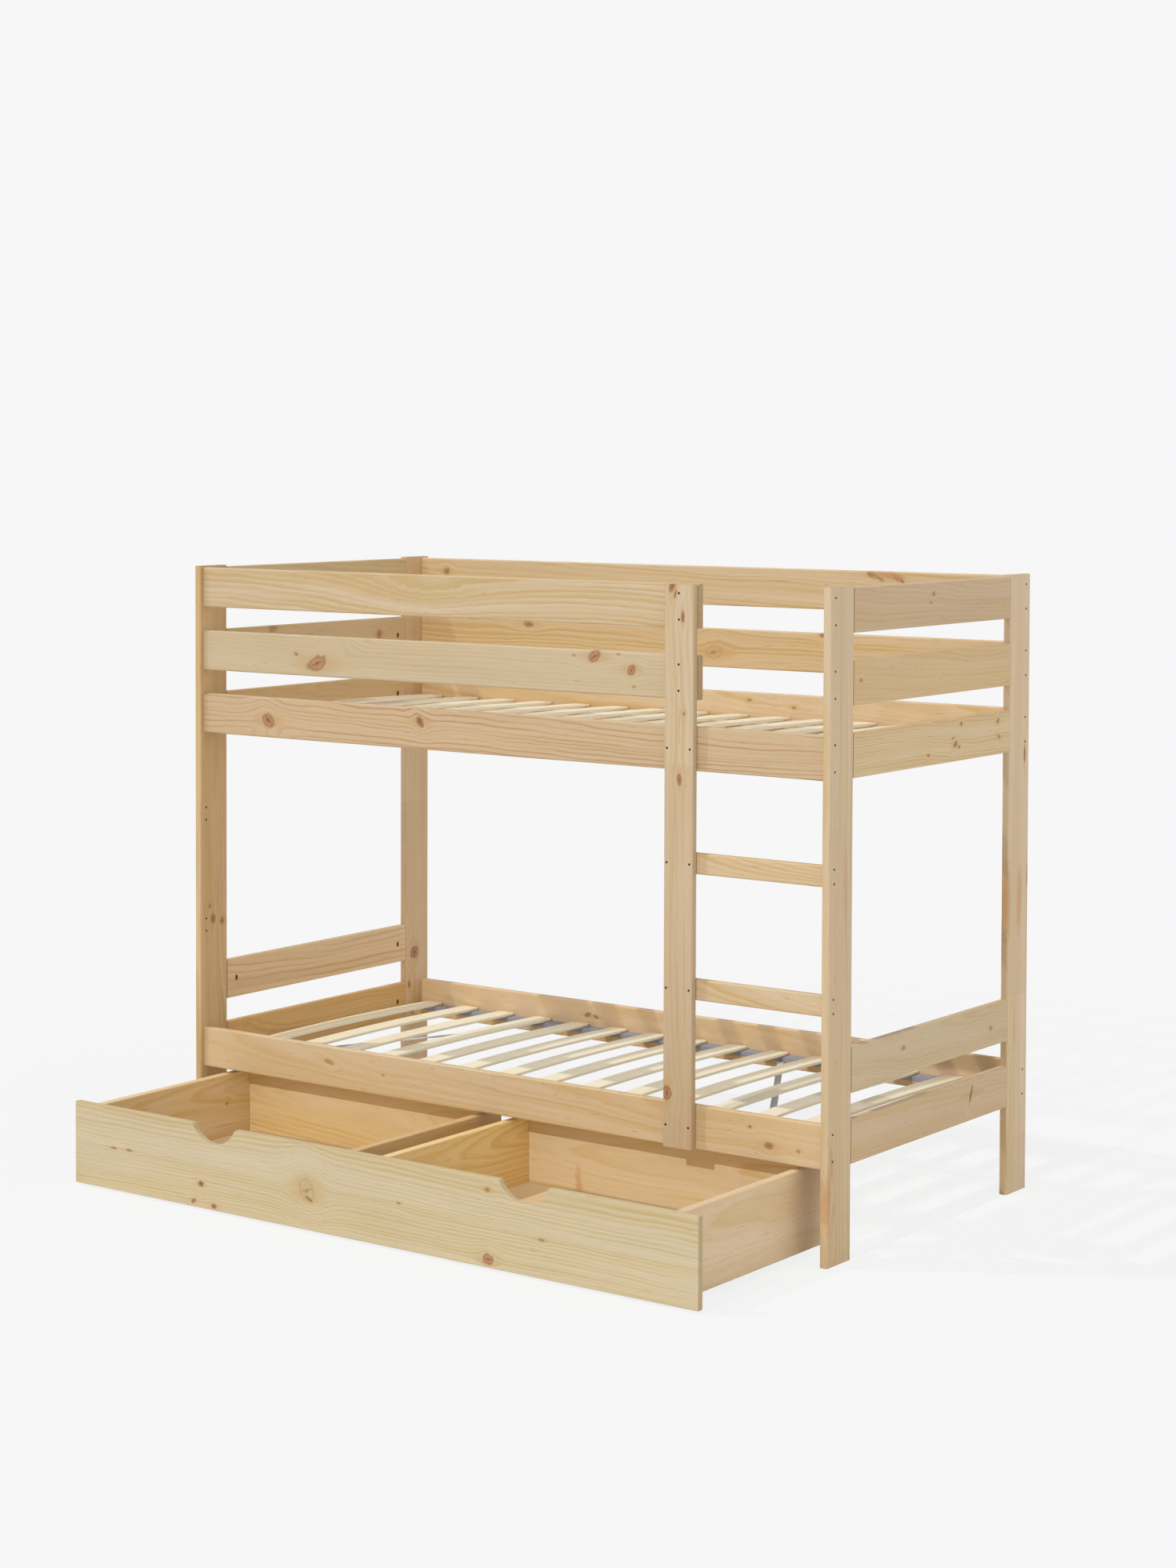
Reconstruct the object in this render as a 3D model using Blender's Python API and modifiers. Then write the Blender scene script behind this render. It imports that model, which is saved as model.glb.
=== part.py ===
# Bunk bed with one wide roll-out drawer, all sizes in metres.
# The bed stands on the plane z = 0, its length runs along x and its ladder faces -y.
import math

import bmesh
import bpy
from mathutils import Matrix, Vector

# Driving dimensions of the frame
BED_LENGTH = 1.956
BED_WIDTH = 0.976
BED_HEIGHT = 1.560
BOARD_THICKNESS = 0.020
POST_DEPTH = 0.105
RAIL_HEIGHT = 0.105
RAIL_RECESS = 0.012
RAIL_GAP = 0.0625
LOWER_RAIL_BOTTOM = 0.222
GUARD_DROP = 0.004
EDGE_RADIUS = 0.004
FIT_GAP = 0.0003

# Ladder
LADDER_OPENING = 0.346
UPRIGHT_WIDTH = 0.081
UPRIGHT_SETBACK = 0.0005
RUNG_HEIGHT = 0.050
RUNG_INSET = 0.005
RUNG_COUNT = 2

# Slat decks
SLAT_COUNT = 15
SLAT_ROW_LEFT_MARGIN = 0.0319
SLAT_ROW_RIGHT_MARGIN = 0.0055
SLAT_WIDTH = 0.053
SLAT_THICKNESS = 0.008
SLAT_RISE = 0.007
SLAT_END_CLEARANCE = 0.006
SLAT_EDGE_CHAMFER = 0.0025
SLAT_CORNER_RADIUS = 0.010
SLAT_BEND_SHARES = (0.45, 0.75, 1.0)
TAPE_THICKNESS = 0.0015
TAPE_WIDTH = 0.038
TAPE_FLAP = 0.020
SLAT_SEAT_DEPTH = 0.0005
TAPE_END_MARGIN = 0.003
LEDGER_DEPTH = 0.040
LEDGER_HEIGHT = 0.028
LEDGER_TOP_ABOVE_RAIL_BOTTOM = 0.0365
LEDGER_END_CLEARANCE = 0.002
LEDGER_EDGE_RADIUS = 0.002
STRAP_WIDTH = 0.025
STRAP_THICKNESS = 0.0015
STRAP_BELOW_LEDGER_TOP = 0.0105
STRAP_LEFT_FRONT_INSET = 0.058
STRAP_LEFT_BACK_INSET = 0.443
STRAP_RIGHT_FRONT_INSET = 0.183
STRAP_RIGHT_BACK_INSET = 0.658

# Drawer
DRAWER_OPEN = 0.484
DRAWER_POST_CLEARANCE = 0.013
DRAWER_FRONT_HEIGHT = 0.208
DRAWER_FRONT_THICKNESS = 0.018
DRAWER_FLOOR_CLEARANCE = 0.006
DRAWER_DEPTH = 0.596
DRAWER_EDGE_RADIUS = 0.002
BOX_COUNT = 2
BOX_SPACING = 0.075
BOX_OVERHANG = 0.0525
BOX_WALL = 0.024
BOX_WALL_DROP = 0.003
BOX_WALL_BOTTOM = 0.019
BOX_BACK_THICKNESS = 0.018
BOX_FLOOR_TOP = 0.046
BOX_FLOOR_THICKNESS = 0.008
BOX_GROOVE_DEPTH = 0.008
BOX_GROOVE_GAP = 0.0005
SCOOP_WIDTH = 0.140
SCOOP_DEPTH = 0.046
SCOOP_SHOULDER_RADIUS = 0.008
SCOOP_ARC_STEPS = 14
SHOULDER_ARC_STEPS = 3

# Casters
WHEEL_RADIUS = 0.015
WHEEL_WIDTH = 0.012
WHEEL_EDGE_RADIUS = 0.0025
WHEEL_RECESS_DEPTH = 0.0015
WHEEL_RECESS_RADIUS = 0.0115
WHEEL_SIDES = 16
AXLE_RADIUS = 0.002
AXLE_CLEARANCE = 0.0004
AXLE_OVERHANG = 0.0008
AXLE_SIDES = 8
FORK_WALL = 0.0015
FORK_SIDE_CLEARANCE = 0.0012
FORK_LENGTH = 0.022
FORK_FOOT_RADIUS = 0.006
FORK_FOOT_STEPS = 6
PLATE_LENGTH = 0.042
PLATE_WIDTH = 0.032
PLATE_THICKNESS = 0.002
PLATE_CORNER = 0.004
CASTER_SIDE_INSET = 0.060
CASTER_END_INSET = 0.060
CASTERS_ALONG = 2
CASTERS_ACROSS = 2

# Counts and directions
EDGE_SEGMENTS = 3
ROUND_PROFILE_SHARE = 0.5
DRAWER_EDGE_SEGMENTS = 2
LEFT = -1
RIGHT = 1
FRONT = -1
BACK = 1
SIDE_NAMES = {LEFT: "left", RIGHT: "right"}
DEPTH_NAMES = {FRONT: "front", BACK: "back"}
SAME_PLACE_SHARE = 1e-5

# Colours, as linear shares of red, green and blue
PINE_SHARES = (0.62, 0.42, 0.22)
PALE_PINE_SHARES = (0.68, 0.52, 0.31)
BIRCH_SHARES = (0.72, 0.58, 0.38)
BATTEN_SHARES = (0.48, 0.27, 0.11)
TAPE_SHARES = (0.26, 0.28, 0.34)
STRAP_SHARES = (0.45, 0.46, 0.50)
STEEL_SHARES = (0.55, 0.56, 0.58)
WHEEL_SHARES = (0.03, 0.03, 0.035)
WOOD_ROUGHNESS_SHARE = 0.55
CLOTH_ROUGHNESS_SHARE = 0.90
STEEL_ROUGHNESS_SHARE = 0.35
PLASTIC_ROUGHNESS_SHARE = 0.50

# Places that several pieces share
POST_INNER_X = BED_LENGTH / 2 - BOARD_THICKNESS
RAIL_OUTER_Y = BED_WIDTH / 2 - RAIL_RECESS
RAIL_INNER_Y = RAIL_OUTER_Y - BOARD_THICKNESS
RAIL_STEP = RAIL_HEIGHT + RAIL_GAP
GUARD_TOP = BED_HEIGHT - GUARD_DROP
TOP_GUARD_BOTTOM = GUARD_TOP - RAIL_HEIGHT
MIDDLE_GUARD_BOTTOM = TOP_GUARD_BOTTOM - RAIL_STEP
UPPER_RAIL_BOTTOM = MIDDLE_GUARD_BOTTOM - RAIL_STEP
HEAD_RAIL_BOTTOM = LOWER_RAIL_BOTTOM + RAIL_STEP
GUARD_FRONT_END_X = POST_INNER_X - LADDER_OPENING
UPRIGHT_RIGHT_X = GUARD_FRONT_END_X - UPRIGHT_SETBACK
UPRIGHT_LEFT_X = UPRIGHT_RIGHT_X - UPRIGHT_WIDTH
SLAT_ROW_LEFT_X = -POST_INNER_X + SLAT_ROW_LEFT_MARGIN
SLAT_ROW_RIGHT_X = POST_INNER_X - SLAT_ROW_RIGHT_MARGIN
SLAT_PITCH = (SLAT_ROW_RIGHT_X - SLAT_ROW_LEFT_X - SLAT_WIDTH) / (SLAT_COUNT - 1)
LEDGER_OUTER_Y = RAIL_INNER_Y - FIT_GAP
LEDGER_INNER_Y = LEDGER_OUTER_Y - LEDGER_DEPTH
DECK_BOTTOMS = {"lower": LOWER_RAIL_BOTTOM, "upper": UPPER_RAIL_BOTTOM}
BED_CENTRE_Y = DRAWER_OPEN / 2
DRAWER_FRONT_FACE_Y = -BED_WIDTH / 2 - DRAWER_OPEN
DRAWER_FRONT_LENGTH = 2 * (POST_INNER_X - DRAWER_POST_CLEARANCE)
BOX_WIDTH = (DRAWER_FRONT_LENGTH - 2 * BOX_OVERHANG - (BOX_COUNT - 1) * BOX_SPACING) / BOX_COUNT
BOX_FRONT_Y = DRAWER_FRONT_FACE_Y + DRAWER_FRONT_THICKNESS + FIT_GAP
BOX_REAR_Y = DRAWER_FRONT_FACE_Y + DRAWER_DEPTH
BOX_WALL_TOP = DRAWER_FLOOR_CLEARANCE + DRAWER_FRONT_HEIGHT - BOX_WALL_DROP
BOX_FLOOR_BOTTOM = BOX_FLOOR_TOP - BOX_FLOOR_THICKNESS


def clear_scene():
    for item in list(bpy.data.objects):
        bpy.data.objects.remove(item, do_unlink=True)


def make_material(name, shares, roughness_share, metallic_share=0.0):
    material = bpy.data.materials.new(name)
    material.use_nodes = True
    shader = material.node_tree.nodes["Principled BSDF"]
    shader.inputs["Base Color"].default_value = (*shares, 1)
    shader.inputs["Roughness"].default_value = roughness_share
    shader.inputs["Metallic"].default_value = metallic_share
    return material


def make_materials():
    return {
        "pine": make_material("pine", PINE_SHARES, WOOD_ROUGHNESS_SHARE),
        "pale_pine": make_material("pale_pine", PALE_PINE_SHARES, WOOD_ROUGHNESS_SHARE),
        "birch": make_material("birch", BIRCH_SHARES, WOOD_ROUGHNESS_SHARE),
        "batten": make_material("batten", BATTEN_SHARES, WOOD_ROUGHNESS_SHARE),
        "tape": make_material("tape", TAPE_SHARES, CLOTH_ROUGHNESS_SHARE),
        "strap": make_material("strap", STRAP_SHARES, CLOTH_ROUGHNESS_SHARE),
        "steel": make_material("steel", STEEL_SHARES, STEEL_ROUGHNESS_SHARE, 1),
        "wheel_plastic": make_material("wheel_plastic", WHEEL_SHARES, PLASTIC_ROUGHNESS_SHARE),
    }


class Workshop:
    """Keeps the collections, the materials and the two parents that pieces hang on."""

    def __init__(self):
        self.parts = bpy.data.collections.new("bunk_bed_with_drawer")
        self.cutters = bpy.data.collections.new("cutters")
        bpy.context.scene.collection.children.link(self.parts)
        bpy.context.scene.collection.children.link(self.cutters)
        self.cutters.hide_render = True
        self.materials = make_materials()
        self.bed = self.empty("bed_centre", Vector((0, BED_CENTRE_Y, 0)))

    def empty(self, name, place):
        item = bpy.data.objects.new(name, None)
        item.location = place
        self.parts.objects.link(item)
        return item

    def piece(self, name, mesh, material, place=(0, 0, 0)):
        item = bpy.data.objects.new(name, mesh)
        item.location = place
        item.parent = self.bed
        if not mesh.materials:
            mesh.materials.append(self.materials[material])
        self.parts.objects.link(item)
        return item

    def helper(self, name, mesh):
        item = bpy.data.objects.new(name, mesh)
        item.parent = self.bed
        item.hide_render = True
        item.display_type = "WIRE"
        self.cutters.objects.link(item)
        return item


def finish_mesh(name, work):
    bmesh.ops.recalc_face_normals(work, faces=work.faces[:])
    mesh = bpy.data.meshes.new(name)
    work.to_mesh(mesh)
    work.free()
    return mesh


# A sawn board: a box whose long edges are rounded and whose ends are square
def edges_along(work, axis):
    found = []
    for edge in work.edges:
        run = edge.verts[1].co - edge.verts[0].co
        if abs(run[axis]) > run.length * math.cos(math.pi / 4):
            found.append(edge)
    return found


def edges_at(work, axis, distance):
    """The edges that lie this far from the middle, at one side or the other."""
    found = []
    for edge in work.edges:
        places = [abs(vert.co[axis]) for vert in edge.verts]
        if all(math.isclose(place, distance, rel_tol=SAME_PLACE_SHARE) for place in places):
            found.append(edge)
    return found


def block(size):
    work = bmesh.new()
    bmesh.ops.create_cube(work, size=1)
    bmesh.ops.scale(work, vec=size, verts=work.verts[:])
    return work


def round_edges(work, edges, radius, segments):
    bmesh.ops.bevel(
        work, geom=edges, offset=radius, segments=segments,
        profile=ROUND_PROFILE_SHARE, affect="EDGES",
    )


def board_mesh(name, size, axis, radius):
    work = block(size)
    round_edges(work, edges_along(work, axis), radius, EDGE_SEGMENTS)
    return finish_mesh(name, work)


def board(shop, name, low, high, axis, material="pine", radius=EDGE_RADIUS):
    low = Vector(low)
    high = Vector(high)
    mesh = board_mesh(name, high - low, axis, radius)
    return shop.piece(name, mesh, material, (low + high) / 2)


# A flat outline in two axes, drawn out along the third
def prism_mesh(name, outline, axis, low, high):
    work = bmesh.new()
    verts = []
    for first, second in outline:
        spot = [first, second]
        spot.insert(axis, low)
        verts.append(work.verts.new(spot))
    face = work.faces.new(verts)
    drawn = bmesh.ops.extrude_face_region(work, geom=[face])
    moved = [item for item in drawn["geom"] if isinstance(item, bmesh.types.BMVert)]
    shift = Vector((0, 0, 0))
    shift[axis] = high - low
    bmesh.ops.translate(work, vec=shift, verts=moved)
    bmesh.ops.recalc_face_normals(work, faces=work.faces[:])
    return finish_mesh(name, work)


def arc_points(centre, radius, start, end, steps):
    points = []
    for step in range(steps + 1):
        angle = start + (end - start) * step / steps
        points.append((centre[0] + radius * math.cos(angle), centre[1] + radius * math.sin(angle)))
    return points


def join_into(shop, item, other_mesh, material=None):
    helper = shop.helper(item.name + "_" + other_mesh.name, other_mesh)
    helper.location = item.location
    change = item.modifiers.new(helper.name, "BOOLEAN")
    change.operation = "UNION"
    change.solver = "EXACT"
    change.object = helper
    if material:
        other_mesh.materials.append(shop.materials[material])
        change.material_mode = "TRANSFER"


# Frame
def make_posts(shop):
    for side in (LEFT, RIGHT):
        for depth in (FRONT, BACK):
            xs = sorted((side * POST_INNER_X, side * BED_LENGTH / 2))
            ys = sorted((depth * (BED_WIDTH / 2 - POST_DEPTH), depth * BED_WIDTH / 2))
            name = "post_" + DEPTH_NAMES[depth] + "_" + SIDE_NAMES[side]
            board(shop, name, (xs[0], ys[0], 0), (xs[1], ys[1], BED_HEIGHT), 2)


def long_rail(shop, name, depth, bottom, right_x):
    ys = sorted((depth * RAIL_INNER_Y, depth * RAIL_OUTER_Y))
    left_x = -POST_INNER_X + FIT_GAP
    board(shop, name, (left_x, ys[0], bottom), (right_x, ys[1], bottom + RAIL_HEIGHT), 0)


def make_long_rails(shop):
    full_x = POST_INNER_X - FIT_GAP
    for depth in (FRONT, BACK):
        for deck, bottom in DECK_BOTTOMS.items():
            long_rail(shop, "side_rail_" + deck + "_" + DEPTH_NAMES[depth], depth, bottom, full_x)
    guards = (("middle", MIDDLE_GUARD_BOTTOM), ("top", TOP_GUARD_BOTTOM))
    for level, bottom in guards:
        long_rail(shop, "guard_rail_" + level + "_front", FRONT, bottom, GUARD_FRONT_END_X)
        long_rail(shop, "guard_rail_" + level + "_back", BACK, bottom, full_x)


def make_end_rails(shop):
    levels = (
        ("bottom", LOWER_RAIL_BOTTOM),
        ("head", HEAD_RAIL_BOTTOM),
        ("upper", UPPER_RAIL_BOTTOM),
        ("middle", MIDDLE_GUARD_BOTTOM),
        ("top", TOP_GUARD_BOTTOM),
    )
    reach = BED_WIDTH / 2 - POST_DEPTH - FIT_GAP
    for side in (LEFT, RIGHT):
        xs = sorted((side * POST_INNER_X, side * BED_LENGTH / 2))
        for level, bottom in levels:
            name = "end_rail_" + SIDE_NAMES[side] + "_" + level
            board(shop, name, (xs[0], -reach, bottom), (xs[1], reach, bottom + RAIL_HEIGHT), 1)


# Ladder: one upright screwed to the rails' faces and two rungs between it and the post
def make_ladder(shop):
    back_y = -RAIL_OUTER_Y - FIT_GAP
    low = (UPRIGHT_LEFT_X, back_y - BOARD_THICKNESS, LOWER_RAIL_BOTTOM)
    high = (UPRIGHT_RIGHT_X, back_y, GUARD_TOP)
    board(shop, "ladder_upright", low, high, 2)
    climb = (UPPER_RAIL_BOTTOM - LOWER_RAIL_BOTTOM) / (RUNG_COUNT + 1)
    for step in range(RUNG_COUNT):
        top = LOWER_RAIL_BOTTOM + RAIL_HEIGHT + climb * (step + 1)
        low = (UPRIGHT_LEFT_X + RUNG_INSET, -RAIL_OUTER_Y, top - RUNG_HEIGHT)
        high = (POST_INNER_X - FIT_GAP, -RAIL_INNER_Y, top)
        board(shop, "ladder_rung_" + str(step + 1), low, high, 0)


# Slat decks
def make_ledgers(shop):
    reach = POST_INNER_X - LEDGER_END_CLEARANCE
    for deck, bottom in DECK_BOTTOMS.items():
        top = bottom + LEDGER_TOP_ABOVE_RAIL_BOTTOM
        for depth in (FRONT, BACK):
            ys = sorted((depth * LEDGER_INNER_Y, depth * LEDGER_OUTER_Y))
            name = "ledger_" + deck + "_" + DEPTH_NAMES[depth]
            low = (-reach, ys[0], top - LEDGER_HEIGHT)
            board(shop, name, low, (reach, ys[1], top), 0, "batten", LEDGER_EDGE_RADIUS)


def slat_lift(share):
    return SLAT_RISE * (1 - share ** 4)


def slat_mesh(half_length):
    """A springy lath: its ends lie flat on the tapes, and the run between is bowed upward."""
    work = block((SLAT_WIDTH, 2 * half_length, SLAT_THICKNESS))
    round_edges(work, edges_along(work, 2), SLAT_CORNER_RADIUS, 1)
    round_edges(work, edges_at(work, 2, SLAT_THICKNESS / 2), SLAT_EDGE_CHAMFER, 1)
    bowed_half = half_length - TAPE_WIDTH
    for share in SLAT_BEND_SHARES:
        for side in (FRONT, BACK):
            everything = work.verts[:] + work.edges[:] + work.faces[:]
            spot = (0, side * share * bowed_half, 0)
            bmesh.ops.bisect_plane(work, geom=everything, plane_co=spot, plane_no=(0, 1, 0))
    for vert in work.verts:
        vert.co.z += slat_lift(min(1, abs(vert.co.y) / bowed_half))
    return finish_mesh("slat", work)


def tape_mesh(name, depth, tape_top, outer_y, inner_y):
    """A webbing tape: flat on the ledger, with its inner margin turned down over the edge."""
    outline = [
        (outer_y, tape_top), (outer_y, tape_top - TAPE_THICKNESS),
        (inner_y + TAPE_THICKNESS, tape_top - TAPE_THICKNESS),
        (inner_y + TAPE_THICKNESS, tape_top - TAPE_FLAP), (inner_y, tape_top - TAPE_FLAP),
        (inner_y, tape_top),
    ]
    outline = [(depth * y, z) for y, z in outline]
    left_x = SLAT_ROW_LEFT_X - TAPE_END_MARGIN
    return prism_mesh(name, outline, 0, left_x, SLAT_ROW_RIGHT_X + TAPE_END_MARGIN)


def make_slat_roll(shop, deck, rail_bottom):
    ledger_top = rail_bottom + LEDGER_TOP_ABOVE_RAIL_BOTTOM
    tape_top = ledger_top + FIT_GAP + TAPE_THICKNESS
    inner_y = LEDGER_INNER_Y - FIT_GAP - TAPE_THICKNESS
    outer_y = inner_y + TAPE_WIDTH
    slat = slat_mesh(RAIL_INNER_Y - SLAT_END_CLEARANCE)
    work = bmesh.new()
    for index in range(SLAT_COUNT):
        before = len(work.verts)
        work.from_mesh(slat)
        centre_x = SLAT_ROW_LEFT_X + SLAT_WIDTH / 2 + index * SLAT_PITCH
        place = (centre_x, 0, tape_top - SLAT_SEAT_DEPTH + SLAT_THICKNESS / 2)
        bmesh.ops.translate(work, vec=place, verts=work.verts[before:])
    roll = shop.piece("slat_roll_" + deck, finish_mesh("slat_roll_" + deck, work), "birch")
    for depth in (FRONT, BACK):
        tape = tape_mesh("tape_" + DEPTH_NAMES[depth], depth, tape_top, outer_y, inner_y)
        join_into(shop, roll, tape, "tape")


def make_tie_straps(shop):
    reach = LEDGER_INNER_Y - FIT_GAP - TAPE_THICKNESS - FIT_GAP
    top = LOWER_RAIL_BOTTOM + LEDGER_TOP_ABOVE_RAIL_BOTTOM - STRAP_BELOW_LEDGER_TOP
    insets = {
        LEFT: (STRAP_LEFT_FRONT_INSET, STRAP_LEFT_BACK_INSET),
        RIGHT: (STRAP_RIGHT_FRONT_INSET, STRAP_RIGHT_BACK_INSET),
    }
    for side, (front_inset, back_inset) in insets.items():
        front_x = side * (POST_INNER_X - front_inset)
        back_x = side * (POST_INNER_X - back_inset)
        slant = math.hypot(back_x - front_x, 2 * reach) / (2 * reach)
        half = STRAP_WIDTH * slant / 2
        outline = [
            (front_x - half, -reach), (front_x + half, -reach),
            (back_x + half, reach), (back_x - half, reach),
        ]
        name = "tie_strap_" + SIDE_NAMES[side]
        mesh = prism_mesh(name, outline, 2, top - STRAP_THICKNESS, top)
        shop.piece(name, mesh, "strap")


# Drawer
def scoop_points(centre_x, top_z):
    """One hand scoop from right to left: a rounded shoulder, a round bottom and a shoulder."""
    half = SCOOP_WIDTH / 2
    radius = (half * half + SCOOP_DEPTH * SCOOP_DEPTH) / (2 * SCOOP_DEPTH)
    bowl_z = top_z - SCOOP_DEPTH + radius
    shoulder_z = top_z - SCOOP_SHOULDER_RADIUS
    reach = radius + SCOOP_SHOULDER_RADIUS
    shoulder_x = math.sqrt(reach * reach - (bowl_z - shoulder_z) ** 2)
    lean = math.atan2(bowl_z - shoulder_z, shoulder_x)
    right = (centre_x + shoulder_x, shoulder_z)
    left = (centre_x - shoulder_x, shoulder_z)
    points = arc_points(right, SCOOP_SHOULDER_RADIUS, math.pi / 2, math.pi - lean, SHOULDER_ARC_STEPS)
    bowl = arc_points((centre_x, bowl_z), radius, -lean, lean - math.pi, SCOOP_ARC_STEPS)
    points += bowl[1:-1]
    points += arc_points(left, SCOOP_SHOULDER_RADIUS, lean, math.pi / 2, SHOULDER_ARC_STEPS)
    return points


def box_centre_x(index):
    pitch = BOX_WIDTH + BOX_SPACING
    return (index - (BOX_COUNT - 1) / 2) * pitch


def make_drawer_front(shop):
    half = DRAWER_FRONT_LENGTH / 2
    bottom = DRAWER_FLOOR_CLEARANCE
    top = bottom + DRAWER_FRONT_HEIGHT
    outline = [(-half, bottom), (half, bottom), (half, top)]
    for index in reversed(range(BOX_COUNT)):
        outline += scoop_points(DRAWER_FRONT_LENGTH * ((index + 0.5) / BOX_COUNT - 0.5), top)
    outline.append((-half, top))
    front_y = DRAWER_FRONT_FACE_Y
    back_y = front_y + DRAWER_FRONT_THICKNESS
    mesh = prism_mesh("drawer_front", outline, 1, front_y, back_y)
    item = shop.piece("drawer_front", mesh, "pale_pine")
    rounding = item.modifiers.new("rounding", "BEVEL")
    rounding.width = DRAWER_EDGE_RADIUS
    rounding.segments = DRAWER_EDGE_SEGMENTS
    rounding.limit_method = "ANGLE"
    rounding.angle_limit = math.radians(60)


def grooved_wall_mesh(name, axis, face_out, face_in, low, high):
    """A wall whose inner face has the groove that holds the floor panel."""
    into = BOX_GROOVE_DEPTH if face_out > face_in else -BOX_GROOVE_DEPTH
    groove_low = BOX_FLOOR_BOTTOM - BOX_GROOVE_GAP
    groove_high = BOX_FLOOR_TOP + BOX_GROOVE_GAP
    outline = [
        (face_out, BOX_WALL_BOTTOM), (face_in, BOX_WALL_BOTTOM), (face_in, groove_low),
        (face_in + into, groove_low), (face_in + into, groove_high), (face_in, groove_high),
        (face_in, BOX_WALL_TOP), (face_out, BOX_WALL_TOP),
    ]
    return prism_mesh(name, outline, axis, low, high)


def round_wall_top(item):
    rounding = item.modifiers.new("rounding", "BEVEL")
    rounding.width = DRAWER_EDGE_RADIUS
    rounding.segments = DRAWER_EDGE_SEGMENTS
    rounding.limit_method = "WEIGHT"
    work = bmesh.new()
    work.from_mesh(item.data)
    weights = work.edges.layers.float.new("bevel_weight_edge")
    for edge in work.edges:
        heights = [vert.co.z for vert in edge.verts]
        if all(math.isclose(height, BOX_WALL_TOP, rel_tol=SAME_PLACE_SHARE) for height in heights):
            edge[weights] = 1
    work.to_mesh(item.data)
    work.free()


def make_drawer_box(shop, index):
    label = "box_" + SIDE_NAMES[LEFT if index == 0 else RIGHT] + "_"
    centre = box_centre_x(index)
    for side in (LEFT, RIGHT):
        face_out = centre + side * BOX_WIDTH / 2
        face_in = face_out - side * BOX_WALL
        name = label + SIDE_NAMES[side] + "_wall"
        mesh = grooved_wall_mesh(name, 1, face_out, face_in, BOX_FRONT_Y, BOX_REAR_Y)
        round_wall_top(shop.piece(name, mesh, "pale_pine"))
    inner = BOX_WIDTH / 2 - BOX_WALL - FIT_GAP
    inner_y = BOX_REAR_Y - BOX_BACK_THICKNESS
    name = label + "back_wall"
    mesh = grooved_wall_mesh(name, 0, BOX_REAR_Y, inner_y, centre - inner, centre + inner)
    round_wall_top(shop.piece(name, mesh, "pale_pine"))
    tongue = BOX_GROOVE_DEPTH - BOX_GROOVE_GAP
    name = label + "floor"
    low = (centre - BOX_WIDTH / 2 + BOX_WALL - tongue, BOX_FRONT_Y, BOX_FLOOR_BOTTOM)
    high = (centre + BOX_WIDTH / 2 - BOX_WALL + tongue, inner_y + tongue, BOX_FLOOR_TOP)
    panel = finish_mesh(name, block(Vector(high) - Vector(low)))
    shop.piece(name, panel, "birch", (Vector(low) + Vector(high)) / 2)


# Casters: a bent plate with an axle through it, and a wheel that turns on the axle
def fork_half_width():
    return WHEEL_WIDTH / 2 + FORK_SIDE_CLEARANCE


def cheek_mesh(name, side, top):
    inner = side * fork_half_width()
    outer = side * (fork_half_width() + FORK_WALL)
    outline = [(FORK_LENGTH / 2, top), (-FORK_LENGTH / 2, top)]
    outline += arc_points((0, 0), FORK_FOOT_RADIUS, -math.pi, 0, FORK_FOOT_STEPS)
    return prism_mesh(name, outline, 0, min(inner, outer), max(inner, outer))


def axle_mesh():
    length = 2 * (fork_half_width() + FORK_WALL + AXLE_OVERHANG)
    work = bmesh.new()
    bmesh.ops.create_cone(
        work, cap_ends=True, segments=AXLE_SIDES, radius1=AXLE_RADIUS, radius2=AXLE_RADIUS,
        depth=length, matrix=Matrix.Rotation(math.pi / 2, 4, "Y"),
    )
    return finish_mesh("axle", work)


def bracket_mesh():
    top = BOX_FLOOR_BOTTOM - FIT_GAP - WHEEL_RADIUS
    half_x = PLATE_WIDTH / 2
    half_y = PLATE_LENGTH / 2
    cut = PLATE_CORNER
    outline = [
        (half_x - cut, -half_y), (half_x, -half_y + cut), (half_x, half_y - cut),
        (half_x - cut, half_y), (-half_x + cut, half_y), (-half_x, half_y - cut),
        (-half_x, -half_y + cut), (-half_x + cut, -half_y),
    ]
    return prism_mesh("caster_bracket", outline, 2, top - PLATE_THICKNESS, top)


def wheel_profile():
    """Half of the wheel's section, from the bore outward, as (half width, radius) pairs."""
    half = WHEEL_WIDTH / 2
    web = half - WHEEL_RECESS_DEPTH
    edge = WHEEL_EDGE_RADIUS
    return [
        (web, AXLE_RADIUS + AXLE_CLEARANCE), (web, WHEEL_RECESS_RADIUS), (half, WHEEL_RECESS_RADIUS),
        (half, WHEEL_RADIUS - edge), (half - edge, WHEEL_RADIUS),
    ]


def wheel_mesh():
    """The section is spun round the axle, starting at the foot, so a corner touches the floor."""
    half_profile = wheel_profile()
    profile = half_profile + [(-x, radius) for x, radius in reversed(half_profile)]
    work = bmesh.new()
    verts = [work.verts.new((x, 0, -radius)) for x, radius in profile]
    edges = [work.edges.new((verts[index - 1], verts[index])) for index in range(len(verts))]
    bmesh.ops.spin(
        work, geom=verts + edges, cent=(0, 0, 0), axis=(1, 0, 0),
        angle=2 * math.pi, steps=WHEEL_SIDES, use_merge=True,
    )
    mesh = finish_mesh("caster_wheel", work)
    mesh.shade_smooth()
    mesh.set_sharp_from_angle(angle=math.radians(30))
    return mesh


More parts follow.
